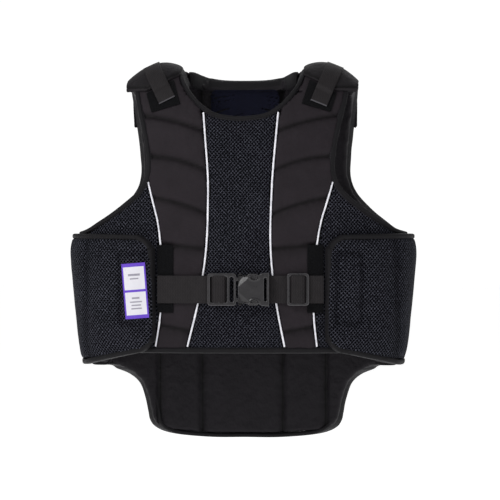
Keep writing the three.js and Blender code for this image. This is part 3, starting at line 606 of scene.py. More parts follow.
@dataclass(frozen=True)
class Piping:
    """Smooth pale reflective piping."""

    name: str = "pale_piping"
    colour: Triple = (0.88, 0.87, 0.92)
    shade: Triple = (0.62, 0.62, 0.68)

    def make(self) -> Material:
        """Builds the material."""
        f = Finish(self.name)
        place = f.coordinates(False)
        wear = f.grain(place, 160, 3, 0.6)
        f.colour(f.blend(f.ramp(wear, 0.3, 0.75), self.colour, self.shade))
        f.normal(f.raised(f.grain(place, 700, 2), 0.0003, 0.3))
        f.fabric(0.45, 0.0, (1, 1, 1))
        return f.material


@dataclass(frozen=True)
class Plastic:
    """Satin moulded plastic with a faint mould grain and a painted highlight on its rounded front edges."""

    name: str = "moulded_plastic"
    colour: Triple = (0.0062, 0.0054, 0.0068)
    worn: Triple = (0.0135, 0.012, 0.0145)
    # Pale colour of the painted highlight on the rounded front edges.
    edge: Triple = (0.16, 0.155, 0.165)

    def make(self) -> Material:
        """Builds the material."""
        f = Finish(self.name)
        place = f.coordinates(False)
        smear = f.grain(place, 55, 3, 0.6)
        body = f.blend(f.ramp(smear, 0.4, 0.8), self.colour, self.worn)
        # Painted highlight: the edge mark blends the body towards the pale colour.
        f.colour(f.blend(f.times(f.mark("edge"), 0.8), body, self.edge))
        f.put(f.shader.inputs["Roughness"], f.ramp(smear, 0.2, 0.8, 0.24, 0.4))
        f.normal(f.raised(f.grain(place, 1400, 2), 0.00012, 0.25))
        f.shader.inputs["Specular IOR Level"].default_value = 0.4
        return f.material


@dataclass(frozen=True)
class LabelWeave:
    """White woven label with a coloured border, a divider and plain grey bars."""

    name: str = "label_weave"
    field_colour: Triple = (0.68, 0.67, 0.72)
    border: Triple = (0.13, 0.062, 0.5)
    bar: Triple = (0.3, 0.29, 0.34)

    def band(self, f: Finish, value: Socket, middle: float, half: float) -> Socket:
        """1 within a band of a coordinate and 0 outside it."""
        return f.math("LESS_THAN", f.gap(value, middle), half)

    def make(self) -> Material:
        """Builds the material."""
        f = Finish(self.name)
        u, v = f.split(f.coordinates(True))
        inside = f.times(self.band(f, u, 0.5, 0.435), self.band(f, v, 0.5, 0.435))
        edge = f.minus(1, inside)
        divider = self.band(f, v, 0.5, 0.022)
        ink = f.most(edge, divider)
        bars = None
        for middle, width, height in ((0.79, 0.25, 0.02), (0.72, 0.18, 0.012), (0.3, 0.25, 0.012),
                                      (0.24, 0.2, 0.012), (0.18, 0.22, 0.012), (0.37, 0.16, 0.016)):
            bar = f.times(self.band(f, v, middle, height), self.band(f, u, 0.5, width))
            bars = bar if bars is None else f.most(bars, bar)
        field = f.blend(bars, self.field_colour, self.bar)
        weave = f.ridge(f.times(v, 90.0))
        colour = f.blend(ink, field, self.border)
        f.colour(colour)
        f.normal(f.raised(weave, 0.0002, 0.5))
        f.fabric(0.6, 0.1, (1, 1, 1))
        return f.material


class Wardrobe:
    """Every finish, made once and shared by the pieces."""

    def __init__(self) -> None:
        """Builds the finishes."""
        self.cover = Nylon().make()
        self.lining = Nylon(
            name="lining_nylon", dark=(0.0048, 0.0042, 0.0055), light=(0.0135, 0.0115, 0.0145),
            roughness=0.55, pucker=1.0, seams=Channels.places,
        ).make()
        self.mesh = AirMesh().make()
        self.fine = FineMesh().make()
        self.tape = Tape().make()
        self.webbing = Webbing().make()
        self.loop = LoopPile().make()
        self.piping = Piping().make()
        self.plastic = Plastic().make()
        self.tab = Nylon(name="tab_nylon", dark=(0.005, 0.0045, 0.0055), light=(0.0145, 0.0125, 0.0145)).make()
        self.label = LabelWeave().make()


@contextmanager
def edited(mesh: bpy.types.Mesh) -> Iterator[bmesh.types.BMesh]:
    """Opens a mesh as a BMesh and writes it back at the end."""
    work = bmesh.new()
    work.from_mesh(mesh)
    yield work
    work.to_mesh(mesh)
    work.free()


class Workshop:
    """Mesh work that every sub-assembly shares."""

    def piece(self, name: str, data: bpy.types.ID) -> Piece:
        """Links a new object that holds a mesh, lamp or camera."""
        obj = bpy.data.objects.new(name, data)
        bpy.context.scene.collection.objects.link(obj)
        return obj

    def copy_of(self, node: str, name: str) -> Piece:
        """A merged copy of a CAD node's mesh, as a new object."""
        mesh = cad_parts[node].data.copy()
        mesh.materials.clear()
        with edited(mesh) as work:
            bmesh.ops.remove_doubles(work, verts=work.verts, dist=2e-6)
        return self.piece(name, mesh)

    def baked(self, obj: Piece) -> None:
        """Applies the object's modifiers to its mesh."""
        bpy.context.view_layer.update()
        graph = bpy.context.evaluated_depsgraph_get()
        mesh = bpy.data.meshes.new_from_object(obj.evaluated_get(graph))
        obj.modifiers.clear()
        old, obj.data = obj.data, mesh
        bpy.data.meshes.remove(old)

    def remesh(self, obj: Piece, voxel: float, rounds: int) -> None:
        """Remeshes an object in even squares and rounds its corners."""
        modifier = obj.modifiers.new("Remesh", "REMESH")
        modifier.mode = "VOXEL"
        modifier.voxel_size = voxel * MM
        self.baked(obj)
        with edited(obj.data) as work:
            for _ in range(rounds):
                bmesh.ops.smooth_vert(work, verts=work.verts, factor=0.5,
                                      use_axis_x=True, use_axis_y=True, use_axis_z=True)

    def read(self, obj: Piece, name: str) -> Array:
        """One row of X, Y and Z for each vertex."""
        flat = np.empty(len(obj.data.vertices) * 3, np.float32)
        obj.data.vertices.foreach_get(name, flat)
        return flat.reshape(-1, 3).astype(float)

    def points(self, obj: Piece) -> Array:
        """The object's vertices in millimetres."""
        return self.read(obj, "co") / MM

    def normals(self, obj: Piece) -> Array:
        """The object's vertex normals."""
        return self.read(obj, "normal")

    def move(self, obj: Piece, points: Array) -> None:
        """Puts the object's vertices at points in millimetres."""
        obj.data.vertices.foreach_set("co", (points * MM).astype(np.float32).ravel())
        obj.data.update()

    def unwrap(self, obj: Piece, places: Array) -> None:
        """Gives the mesh a UV map from one pair of numbers for each vertex."""
        layer = obj.data.uv_layers.get("cut") or obj.data.uv_layers.new(name="cut")
        corner = np.empty(len(obj.data.loops), np.int32)
        obj.data.loops.foreach_get("vertex_index", corner)
        layer.data.foreach_set("uv", places[corner].astype(np.float32).ravel())

    def mark(self, obj: Piece, name: str, values: Array) -> None:
        """Stores one number for each vertex, which the finish reads."""
        layer = obj.data.attributes.get(name) or obj.data.attributes.new(name, "FLOAT", "POINT")
        layer.data.foreach_set("value", np.asarray(values, np.float32))

    def grid(self, name: str, columns: int, rows: int, place: Callable[[Array, Array], Array],
             scale: tuple[float, float]) -> Piece:
        """A grid bent by a function of its two shares."""
        mesh = bpy.data.meshes.new(name)
        with edited(mesh) as work:
            bmesh.ops.create_grid(work, x_segments=columns, y_segments=rows, size=0.5)
        obj = self.piece(name, mesh)
        shares = self.points(obj)[:, :2] * MM + 0.5
        self.unwrap(obj, shares * np.array(scale) * PATTERN)
        self.move(obj, place(shares[:, 0], shares[:, 1]))
        return obj

    def thicken(self, obj: Piece, wall: float, bevel: float = 0) -> None:
        """Gives a bent grid its thickness outwards and rounds its edges.

        Args:
            obj: The grid.
            wall: Thickness in millimetres.
            bevel: Rounding of the edges in millimetres.
        """
        with edited(obj.data) as work:
            bmesh.ops.recalc_face_normals(work, faces=work.faces)
            outward = sum(face.normal.xy.dot(face.calc_center_median().xy) for face in work.faces)
            if outward < 0:
                bmesh.ops.reverse_faces(work, faces=work.faces)
        solid = obj.modifiers.new("Wall", "SOLIDIFY")
        solid.thickness = wall * MM
        solid.offset = 1
        if bevel:
            round_edge = obj.modifiers.new("Round", "BEVEL")
            round_edge.width = bevel * MM
            round_edge.segments = 2
            round_edge.limit_method = "ANGLE"
            round_edge.angle_limit = math.radians(50)
        self.baked(obj)

    def finish(self, obj: Piece, material: Material, slot: str, nodes: Sequence[str],
               angle: float | None = None) -> Piece:
        """Dresses a piece, hides the solids that it stands for and puts it on the body."""
        obj.data.materials.clear()
        obj.data.materials.append(material)
        obj.data.polygons.foreach_set("use_smooth", [True] * len(obj.data.polygons))
        if angle is not None:
            obj.data.set_sharp_from_angle(angle=math.radians(angle))
        obj.data.update()
        if nodes:
            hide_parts(*nodes)
        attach(obj, "root")
        log.info("%s: %d faces", obj.name, len(obj.data.polygons))
        return obj


SHOP = Workshop()


def ripple(points: Array, wave: float, seed: float) -> Array:
    """Smooth noise from -1 to 1 at points."""
    return np.array([noise.noise(Vector(p) / wave + Vector((seed, -seed, 2 * seed))) for p in points])


@dataclass
class Wall:
    """A soft wall of fabric and foam between two distances from the hollow."""

    node: str
    name: str
    inner: float
    outer: float
    slot: str
    voxel: float = 3.0
    rounds: int = 2
    sink: float = 1.2
    reach: float = 11.0
    limit: float | None = None
    grow: float = 0.4
    collar: Pairs | None = None
    fill: float | None = 0.7
    pressed: bool = False
    cap: float = 1.5
    swell: float = 0.5
    relief: Relief | None = None
    seed: float = 1.0
    around: bool = False
    obj: Piece = field(init=False)
    crease: Array | None = None
    hem: Array | None = None

    def shape(self) -> None:
        """Remeshes the solid, lays its faces on the smooth body and adds its relief."""
        self.obj = SHOP.copy_of(self.node, self.name)
        SHOP.remesh(self.obj, self.voxel, self.rounds)
        points, normals = SHOP.points(self.obj), SHOP.normals(self.obj)
        turn, level, off = TORSO.locate(points)
        out = TORSO.outward(turn, level, off)
        facing = np.sum(out * normals, axis=1)
        points = points + (normals - out * facing[:, None]) * self.grow
        self.turn, self.level, off = TORSO.locate(points)
        self.on_outer, self.on_inner = smoothstep(facing, *FACING), smoothstep(-facing, *FACING)
        self.from_edge = self.edge_distance(points, np.abs(facing) < 0.5)
        self.points = points
        pinch = self.sink * (1 - np.clip(self.from_edge / self.reach, 0, 1)) ** 2
        target = self.on_outer * (self.outer - pinch) + self.on_inner * self.inner
        self.off = off * (1 - self.on_outer - self.on_inner) + target
        if self.relief is not None:
            self.off = self.off + self.relief(self)
        soft = 0.6 * ripple(points, SLOW_WAVE, self.seed) + 0.4 * ripple(points, QUICK_WAVE, self.seed + 7)
        inside = smoothstep(self.from_edge, 2, 12)
        self.off = self.off + self.swell * soft * inside * (self.on_outer - self.on_inner)
        self.lay()

    def edge_distance(self, points: Array, rim: Array) -> Array:
        """Distance of every point from the wall's rim."""
        tree = kdtree.KDTree(int(rim.sum()) + 1)
        for index, point in enumerate(points[rim]):
            tree.insert(point, index)
        tree.insert((1e5, 1e5, 1e5), int(rim.sum()))
        tree.balance()
        return np.array([tree.find(point)[2] for point in points])

    def lay(self) -> None:
        """Puts the vertices at their distances from the hollow."""
        if self.limit is not None:
            start = self.limit - SOFT_STOP
            over = np.maximum(self.off - start, 0)
            self.off = np.where(over > 0, start + SOFT_STOP * (1 - np.exp(-over / SOFT_STOP)), self.off)
        points = TORSO.place(self.turn, self.level, self.off)
        if self.collar is not None:
            places, heights = np.array(self.collar).T
            top = np.interp(np.abs(points[:, 0]), places, heights)
            low = np.minimum(points[:, 2], np.minimum(top, self.off - TORSO.fall(points[:, 0]) - 2.6))
            points[:, 2] = np.where(points[:, 1] > 0, low, points[:, 2])
        SHOP.move(self.obj, points)

    def pin(self) -> None:
        """Adds the cloth that swells under pressure, held where it is sewn."""
        held = 1 - smoothstep(self.from_edge, 1.5, 6.0)
        if self.relief is not None:
            held = np.maximum(held, smoothstep(-self.relief(self), 0.5, 1.8))
        group = self.obj.vertex_groups.new(name="sewn")
        for index in np.nonzero(held > 0.03)[0]:
            group.add([int(index)], float(held[index]), "REPLACE")
        cloth = self.obj.modifiers.new("Cloth", "CLOTH")
        cloth.settings.use_pressure = True
        cloth.settings.uniform_pressure_force = 4
        cloth.settings.vertex_group_mass = "sewn"
        cloth.settings.effector_weights.gravity = 0
        cloth.settings.quality = 4
        cloth.settings.mass = 0.15
        cloth.point_cache.frame_start = 1
        cloth.point_cache.frame_end = CLOTH_FRAMES

    def settle(self) -> None:
        """Takes over how far the cloth has swelled, capped, and removes the cloth."""
        rest = SHOP.points(self.obj)
        SHOP.baked(self.obj)
        self.obj.vertex_groups.clear()
        swelled = SHOP.points(self.obj) - rest
        gain = np.sum(swelled * TORSO.outward(self.turn, self.level, self.off), axis=1)
        log.info("%s swelled by up to %.1f mm", self.name, float(np.abs(gain).max()))
        gain = self.cap * np.tanh(gain / self.cap)
        self.off = self.off + gain * self.on_outer
        self.lay()

    def dress(self, material: Material) -> Piece:
        """Gives the wall its cut, finish and place."""
        turn = np.where(self.turn > math.pi, self.turn - 2 * math.pi, self.turn) if self.around else self.turn
        SHOP.unwrap(self.obj, TORSO.pattern(turn, self.level) * PATTERN)
        for name, values in (("crease", self.crease), ("hem", self.hem)):
            if values is not None:
                SHOP.mark(self.obj, name, values)
        SHOP.finish(self.obj, material, self.slot, [self.node])
        return self.obj


def press(walls: Sequence[Wall]) -> None:
    """Swells all pressed walls in one run of the simulation."""
    pressed = [wall for wall in walls if wall.pressed]
    if not pressed:
        return
    for wall in pressed:
        wall.pin()
    for step in range(1, CLOTH_FRAMES + 1):
        bpy.context.scene.frame_set(step)
    for wall in pressed:
        wall.settle()
    bpy.context.scene.frame_set(1)


def loop_patches(place: str, seed: float, wardrobe: Wardrobe) -> None:
    """The pair of fuzzy fastening patches at a place of the body."""
    for side in Side:
        patch = Wall(f"{side.label}_{place}_loop", f"{side.label}_{place}_pile", Layer.PATCH_IN, Layer.PATCH_OUT,
                     "loop_patch", voxel=1, rounds=1, sink=0.3, reach=2, fill=None, swell=0.15, grow=0,
                     seed=seed + side.value)
        patch.shape()
        patch.dress(wardrobe.loop)


@dataclass(frozen=True)
class Quilting:
    """Curved quilting lines across the chest panels."""

    near: float = 35.0
    far: float = 158.0
    length: float = 380.0
    depth: float = 3.4
    puff: float = 0.9
    valley: float = 4.6
    line: float = 2.2
    gather: float = 0.5
    gather_reach: float = 10.0
    fold: float = 3.0
    shade: float = 0.25
    shade_down: float = 5.0
    shade_width: float = 7.0
    rows: tuple[Triple, ...] = (
        (0.13, 0.153, 0.21), (0.292, 0.293, 0.353), (0.43, 0.45, 0.51),
        (0.597, 0.61, 0.626), (0.887, 0.906, 0.94),
    )

    def height(self, row: Triple, x: Array) -> Array:
        """Height of one line at places across."""
        s = (np.abs(x) - self.near) / (self.far - self.near)
        outer, middle, inner = row
        ends = (1 - s) * (1 - 2 * s) * inner + s * (2 * s - 1) * outer
        return -(4 * s * (1 - s) * middle + ends) * self.length

    def relief(self, wall: Wall) -> Array:
        """Valleys at the lines with small gathers beside them, and the mark of painted shade at and just below each
        line.
        """
        spots = TORSO.place(wall.turn, wall.level, Layer.COVER_OUT)
        x, z = spots[:, 0], spots[:, 2]
        total, sewn = np.zeros(len(x)), np.zeros(len(x))
        for number, row in enumerate(self.rows):
            away = z - self.height(row, x)
            wave = uneven(x * 0.55 + 2.1 * number, 1.6, x * 0.17 + number)
            total -= (self.depth + self.puff) * bell(away, self.valley)
            total += self.gather * wave * bell(away, self.gather_reach) * (1 - bell(away, self.fold))
            # Painted shade: the crease mark is 1 at each line and has a soft band below it set by the shade fields, and
            # the cover is darkened there.
            below = self.shade * bell(away + self.shade_down, self.shade_width)
            sewn = np.maximum(sewn, bell(away, self.line) + below)
        wall.crease = np.clip(sewn, 0, 1) * wall.on_outer
        return (total + self.puff) * wall.on_outer


@dataclass(frozen=True)
class Channels:
    """Upright seams sewn through the inside of the back."""

    places: tuple[float, ...] = (-122.7, -62.2, 53.4, 115.5)
    depth: float = 4.2
    puff: float = 1.5
    width: float = 5.0
    line: float = 0.34
    gather: float = 0.8
    gather_wave: float = 22.0

    def relief(self, wall: Wall) -> Array:
        """Valleys along the seams, with the lining full between them, and the mark of painted shade in the valleys."""
        x = wall.points[:, 0]
        valley = np.zeros(len(x))
        for place in self.places:
            valley = np.maximum(valley, bell(x - place, self.width))
        # Painted shade: the crease mark is high in each seam's valley, where the lining is darkened.
        wall.crease = bell(1 - valley, self.line) * wall.on_inner
        drawn = ripple(wall.points * np.array([1, 1, 0.35]), self.gather_wave, 4)
        gather = self.gather * drawn * bell(valley - 0.25, 0.3)
        return (self.depth * valley - self.puff * (1 - valley) + gather) * wall.on_inner


@dataclass
class PaddedHalves:
    """The two foam halves in their lining and the cover panels of both."""

    quilting: Quilting = field(default_factory=Quilting)
    channels: Channels = field(default_factory=Channels)
    collar: Pairs = (
        (0, 2.6), (29, 3.3), (49.8, 6.1), (66.4, 10.3), (77.2, 17), (83, 28),
    )
    walls: list[Wall] = field(default_factory=list)

    def build(self) -> None:
        """Shapes every wall."""
        lining, core, start, end = Layer.LINING, Layer.CORE_OUT, Layer.COVER_IN, Layer.COVER_OUT
        low = end - 0.6
        top = Layer.PATCH_IN - 0.1
        self.walls += [
            Wall("front_core", "front_padding", lining, core, "lining_nylon", voxel=5, seed=2, fill=0.9),
            Wall("back_core", "back_padding", lining, core, "lining_nylon", voxel=4, seed=3, fill=0.9,
                 relief=self.channels.relief, collar=self.collar),
            Wall("front_centre_mesh", "front_centre_panel", start, low, "air_mesh", seed=4, limit=top, swell=0.7),
            Wall("back_centre_mesh", "back_centre_panel", start, end, "air_mesh", seed=5, limit=top, swell=0.8,
                 collar=self.collar),
        ]
        for side in Side:
            name = side.label
            self.walls += [
                Wall(f"front_{name}_side_mesh", f"front_{name}_side_panel", start, low, "air_mesh",
                     seed=6 + side.value, limit=top),
                Wall(f"front_{name}_chest", f"front_{name}_chest_panel", start, end, "cover_nylon", voxel=2.8,
                     rounds=1, seed=9 + side.value, limit=top, relief=self.quilting.relief, pressed=True, cap=1.6,
                     swell=0.45),
                Wall(f"back_{name}_panel", f"back_{name}_cover", start, end, "cover_nylon",
                     seed=13 + side.value, limit=top, swell=0.8),
            ]
        for wall in self.walls:
            wall.shape()

    def dress(self, wardrobe: Wardrobe) -> None:
        """Gives every wall its finish."""
        finishes = {"lining_nylon": wardrobe.lining, "air_mesh": wardrobe.mesh, "cover_nylon": wardrobe.cover}
        for wall in self.walls:
            wall.dress(finishes[wall.slot])


def curve_through(knots: Array, step: float, closed: bool = False) -> Array:
    """A smooth line through knots, with points at even steps."""
    if closed:
        ends = np.vstack([knots[-1:], knots, knots[:2]])
    else:
        ends = np.vstack([2 * knots[:1] - knots[1:2], knots, 2 * knots[-1:] - knots[-2:-1]])
    found = []
    for a, b, c, d in zip(ends, ends[1:], ends[2:], ends[3:]):
        t = np.linspace(0, 1, 24, endpoint=False)[:, None]
        found.append(0.5 * (2 * b + (c - a) * t + (2 * a - 5 * b + 4 * c - d) * t**2 + (3 * b - a - 3 * c + d) * t**3))
    line = np.vstack([*found, ends[-2:-1]])
    run = run_along(line)
    even = np.linspace(0, run[-1], max(int(run[-1] / step), 4) + 1)
    return np.stack([np.interp(even, run, line[:, 0]), np.interp(even, run, line[:, 1])], axis=-1)


@dataclass
class RolledTape:
    """Tape folded over an edge: a soft roll as thick as the wall that it closes."""

    node: str
    name: str
    edge: Array
    back: bool = False
    upright: bool = False
    closed: bool = False
    flat: bool = False
    inner: float = -0.6
    outer: float = 22.9
    width: float = 8.4
    ring: int = 26
    sewn: float = 0.365
    sewn_width: float = 0.07
    crown: float = 0.5
    wobble: float = 0.22
    foot: float = 0.45
    under_crest: float = 0.4

    def line(self) -> Array:
        """The edge as even points: on the flat cut, or in X and Z where the tape stands upright."""
        if self.flat:
            return curve_through(self.edge, STEP, self.closed)
        dense = curve_through(self.edge, STEP / 2)
        off = Layer.COVER_OUT
        width, _ = TORSO.reach(np.minimum(dense[:, 1], 0), np.zeros(len(dense), bool))
        dense = dense[np.abs(dense[:, 0]) < width + off - 0.02]
        level = TORSO.level_at(dense[:, 0], dense[:, 1], off)
        shown = level < CREST_LEVEL
        if self.upright:
            shown[:-6] |= shown[6:]
            shown[6:] |= shown[:-6]
            return curve_through(dense[shown][::2], STEP)
        dense, level = dense[shown], level[shown]
        turn = TORSO.turn_at(dense[:, 0], off, np.minimum(dense[:, 1], -TORSO.chest_line))
        flat = TORSO.pattern(math.pi - turn if self.back else turn, level)
        crest = TORSO.pattern(np.zeros(1), np.ones(1))[0, 1]
        for end, near in ((0, 1), (-1, -2)):
            if flat[end, 1] > crest - NEAR_CREST:
                tip = flat[end] + (flat[end] - flat[near]) * 0.01
                tip[1] = crest
                flat = np.vstack([tip, flat]) if end == 0 else np.vstack([flat, tip])
        return curve_through(flat[::2] if len(flat) % 2 else np.vstack([flat[:-1:2], flat[-1:]]), STEP)

    def build(self, material: Material) -> Piece:
        """Rolls the tape along its edge.

        Args:
            material: Its finish.

        Returns:
            The piece.
        """
        line = self.line()
        along = np.gradient(line, axis=0)
        if self.closed:
            along[0] = along[-1] = line[1] - line[-2]
        along /= np.maximum(np.linalg.norm(along, axis=1, keepdims=True), 1e-9)
        inward = np.stack([along[:, 1], -along[:, 0]], axis=-1)
        if self.back and not self.upright:
            inward = -inward
        count = len(line) - 1
        run = count * STEP

        def place(share: Array, around: Array) -> Array:
            index = np.clip(np.rint(share * count).astype(int), 0, count)
            angle = around * 2 * math.pi
            inset = self.width / 2 * (1 - signed_power(np.cos(angle), 0.5))
            rise = signed_power(np.sin(angle), 0.5)
            middle, half = (self.outer + self.inner) / 2, (self.outer - self.inner) / 2
            off = middle + half * rise
            off += self.crown * np.maximum(rise, 0) * (1 - (2 * inset / self.width - 1) ** 2)
            off += self.wobble * uneven(index * STEP / 7.0, 1.7, index * STEP / 23.0) * np.maximum(rise, 0)
            if self.upright:
                inset *= self.foot + (1 - self.foot) * (off - self.inner) / (self.outer - self.inner)
                top = off - TORSO.fall(line[index, 0]) - self.under_crest
                spots = np.stack([line[index, 0], np.minimum(line[index, 1], top)], axis=-1)
                spots += inward[index] * inset[:, None]
                return TORSO.face(spots[:, 0], spots[:, 1], off, self.back)
            spots = line[index] + inward[index] * inset[:, None]
            turn, level = TORSO.worn(spots)
            return TORSO.place(turn, level, off)

        obj = SHOP.grid(self.name, count, self.ring, place, (run, 2 * (self.width + self.outer - self.inner)))
        rows = np.tile(np.arange(self.ring + 1)[:, None] / self.ring, (1, count + 1)).ravel()
        SHOP.mark(obj, "stitch", np.clip(1 - np.abs(rows - self.sewn) / self.sewn_width, 0, 1))
        with edited(obj.data) as work:
            bmesh.ops.remove_doubles(work, verts=work.verts, dist=2e-5)
            rims = [edge for edge in work.edges if edge.is_boundary]
            if rims:
                bmesh.ops.holes_fill(work, edges=rims, sides=0)
            bmesh.ops.recalc_face_normals(work, faces=work.faces)
        return SHOP.finish(obj, material, "binding_tape", [self.node])


@dataclass
class EdgeTapes:
    """Binding tape over every edge of both halves and of the wings."""

    neck: float = 83.0
    neck_drop: float = 53.0
    back_rise: float = 7.0
    arm_drop: float = 214.0
    side: float = 230.0
    front_shoulder: float = 150.0
    front_chest: float = 131.0
    back_shoulder: float = 163.0
    back_chest: float = 153.0
    hem: float = -380.0
    tail_start: float = -400.0
    tail_end: float = -509.0
    tail_half: float = 142.0
    neckline: Pairs = (
        (0, 1), (0.22, 0.975), (0.43, 0.9), (0.64, 0.68), (0.8, 0.41), (0.92, 0.12),
        (0.985, -0.16), (1, -0.5), (1, -1.2),
    )
    back_neckline: Pairs = (
        (0, 1), (0.35, 1.1), (0.6, 1.5), (0.8, 2.1), (0.93, 3), (1, 4.6), (1, 9.5),
    )
    armhole: tuple[Triple, ...] = (
        (-0.3, 1, 0), (0, 1, 0), (0.1, 0.93, 0), (0.22, 0.66, 0), (0.33, 0.36, 0), (0.47, 0.06, 0),
        (0.61, 0, 0), (0.715, 0, 0.1), (0.813, 0, 0.33), (0.916, 0, 0.66), (0.985, 0, 0.97), (1.01, 0, 1.6),
    )
    tail: Pairs = (
        (2.2, -0.02), (1.45, 0.02), (1.3, 0.09), (1.17, 0.17), (1.08, 0.29), (1.03, 0.48), (1, 0.67),
        (0.985, 0.77), (0.94, 0.86), (0.84, 0.93), (0.68, 0.97), (0.35, 1), (0, 1),
    )
    wing_open: float = 115.0
    wing_top: float = -215.0
    wing_bottom: float = -397.0
    wing_corner: float = 28.0

    def mirrored(self, right: Array) -> Array:
        """A line whose right half is given, from left to right."""
        return np.vstack([(right * np.array([-1, 1]))[:0:-1], right])

    def arm(self, shoulder: float, chest: float) -> Array:
        """The right armhole from above the shoulder down to the side."""
        rows = [(chest + flare * (shoulder - chest) + out * (self.side - chest), -drop * self.arm_drop)
                for drop, flare, out in self.armhole]
        return np.array(rows)

    def wing_ring(self) -> Array:
        """The right wing's outline on the flat cut, with the wing on its right-hand side."""
        off = Layer.COVER_OUT
        corner, top, bottom = self.wing_corner, self.wing_top - 2, self.wing_bottom + 16
        rows = []
        for centre_z, start in ((bottom + corner, -90), (top - corner, 180)):
            for step in range(5):
                angle = math.radians(start - 22.5 * step)
                rows.append((self.wing_open + corner + corner * math.cos(angle), centre_z + corner * math.sin(angle)))
        knots = np.array(rows)
        turn = TORSO.turn_at(knots[:, 0], off, knots[:, 1])
        front = TORSO.pattern(turn, knots[:, 1])
        back = TORSO.pattern(math.pi - turn, knots[:, 1])[::-1]
        side = TORSO.pattern(np.array([0.4, 0.5, 0.6]) * math.pi, np.full(3, -300.0))[:, 0]
        over = np.stack([side, np.full(3, self.wing_top)], axis=-1)
        under = np.stack([side[::-1], np.full(3, self.wing_bottom)], axis=-1)
        return np.vstack([front, over, back, under])

    def build(self, wardrobe: Wardrobe) -> None:
        """Rolls every tape.

        Args:
            wardrobe: The finishes.
        """
        neck = np.array([(a * self.neck, -d * self.neck_drop) for a, d in self.neckline])
        collar = np.array([(a * self.neck, r * self.back_rise) for a, r in self.back_neckline])
        run = self.tail_end - self.tail_start
        tail = np.array([(a * self.tail_half, self.tail_start + d * run) for a, d in self.tail])
        hem = np.array([(x, self.hem) for x in (300, 150, 0, -150, -300)], float)
        flip = np.array([-1, 1])
        tapes = [
            RolledTape("front_neck_binding", "front_neck_tape", self.mirrored(neck), width=7.6),
            RolledTape("back_neck_binding", "back_neck_tape", self.mirrored(collar), True, upright=True, width=7.6),
            RolledTape("front_hem_binding", "front_hem_tape", hem),
            RolledTape("tail_binding", "tail_tape", np.vstack([tail, (tail * flip)[-2::-1]]), True, width=6.5),
        ]
        for side in Side:
            name = side.label
            for back, half, chest in ((False, self.front_shoulder, self.front_chest),
                                      (True, self.back_shoulder, self.back_chest)):
                arm = self.arm(half, chest)
                arm = arm if side is Side.RIGHT else (arm * flip)[::-1]
                place = "back" if back else "front"
                tapes.append(RolledTape(f"{place}_{name}_armhole_binding", f"{place}_{name}_armhole_tape", arm, back))
            ring = self.wing_ring()
            ring = ring if side is Side.RIGHT else (ring * flip)[::-1]
            tapes.append(RolledTape(f"{name}_wing_binding", f"{name}_wing_tape", ring, flat=True, closed=True,
                                    inner=22.5, outer=32.6, width=7.2, ring=20))
        for tape in tapes:
            tape.build(wardrobe.tape)


@dataclass
class Wings:
    """The padded flaps that wrap from the back round the side to the front."""

    frame_width: float = 34.0
    frame_height: float = 96.0
    frame_x: float = 150.0
    frame_z: float = -291.0
    stitch: float = 1.6
    stitch_width: float = 3.0
    bend: float = 216.0
    bend_depth: float = 1.3
    bend_width: float = 5.0
    pleat: float = 0.5
    pleat_reach: float = 16.0
    sway: float = 0.5
    walls: list[Wall] = field(default_factory=list)

    def relief(self, wall: Wall) -> Array:
        """A stitched rectangle and a bend pressed into the front end, with pleats beside the bend and painted shade
        along both.

        Args:
            wall: The wing.

        Returns:
            Change of the distance from the hollow for each point.
        """
        spots = TORSO.place(wall.turn, wall.level, Layer.WING_OUT)
        x, z = np.abs(spots[:, 0]), spots[:, 2]
        across = np.abs(x - self.frame_x) - self.frame_width / 2
        up = np.abs(z - self.frame_z) - self.frame_height / 2
        away = np.maximum(across, up)
        front = spots[:, 1] < 0
        near = np.where(front, bell(away, self.stitch_width), 0)
        girth = TORSO.pattern(wall.turn, wall.level)[:, 0] * np.sign(spots[:, 0])
        bend = np.where(front, bell(x - self.bend, self.bend_width), 0)
        pleat = uneven(z * 0.21, 1.3, z * 0.05 + spots[:, 0]) * bell(x - self.bend, self.pleat_reach)
        # Painted shade: the crease mark darkens the mesh along the stitched rectangle and the pressed bend.
        wall.crease = np.clip(0.55 * near + 0.5 * bend, 0, 1) * wall.on_outer
        slow = self.sway * uneven(girth / 17.0, 1.1, z / 31.0)
        pressed = -self.stitch * near - self.bend_depth * bend
        return (pressed + np.where(front, self.pleat * pleat, 0) + slow) * wall.on_outer

    def build(self) -> None:
        """Shapes both wings."""
        for side in Side:
            self.walls.append(Wall(f"{side.label}_wing", f"{side.label}_wing_pad", 22.6, Layer.WING_OUT,
                                   "air_mesh", voxel=4, rounds=3, sink=4.2, reach=26, seed=50 + side.value, around=True,
                                   pressed=True, cap=2.2, swell=0.9, relief=self.relief, fill=0.75,
                                   grow=2.6))
        for wall in self.walls:
            wall.shape()

    def dress(self, wardrobe: Wardrobe) -> None:
        """Gives both wings their finish and one subdivision."""
        for wall in self.walls:
            obj = wall.dress(wardrobe.mesh)
            smooth = obj.modifiers.new("Smooth", "SUBSURF")
            smooth.levels = smooth.render_levels = 1


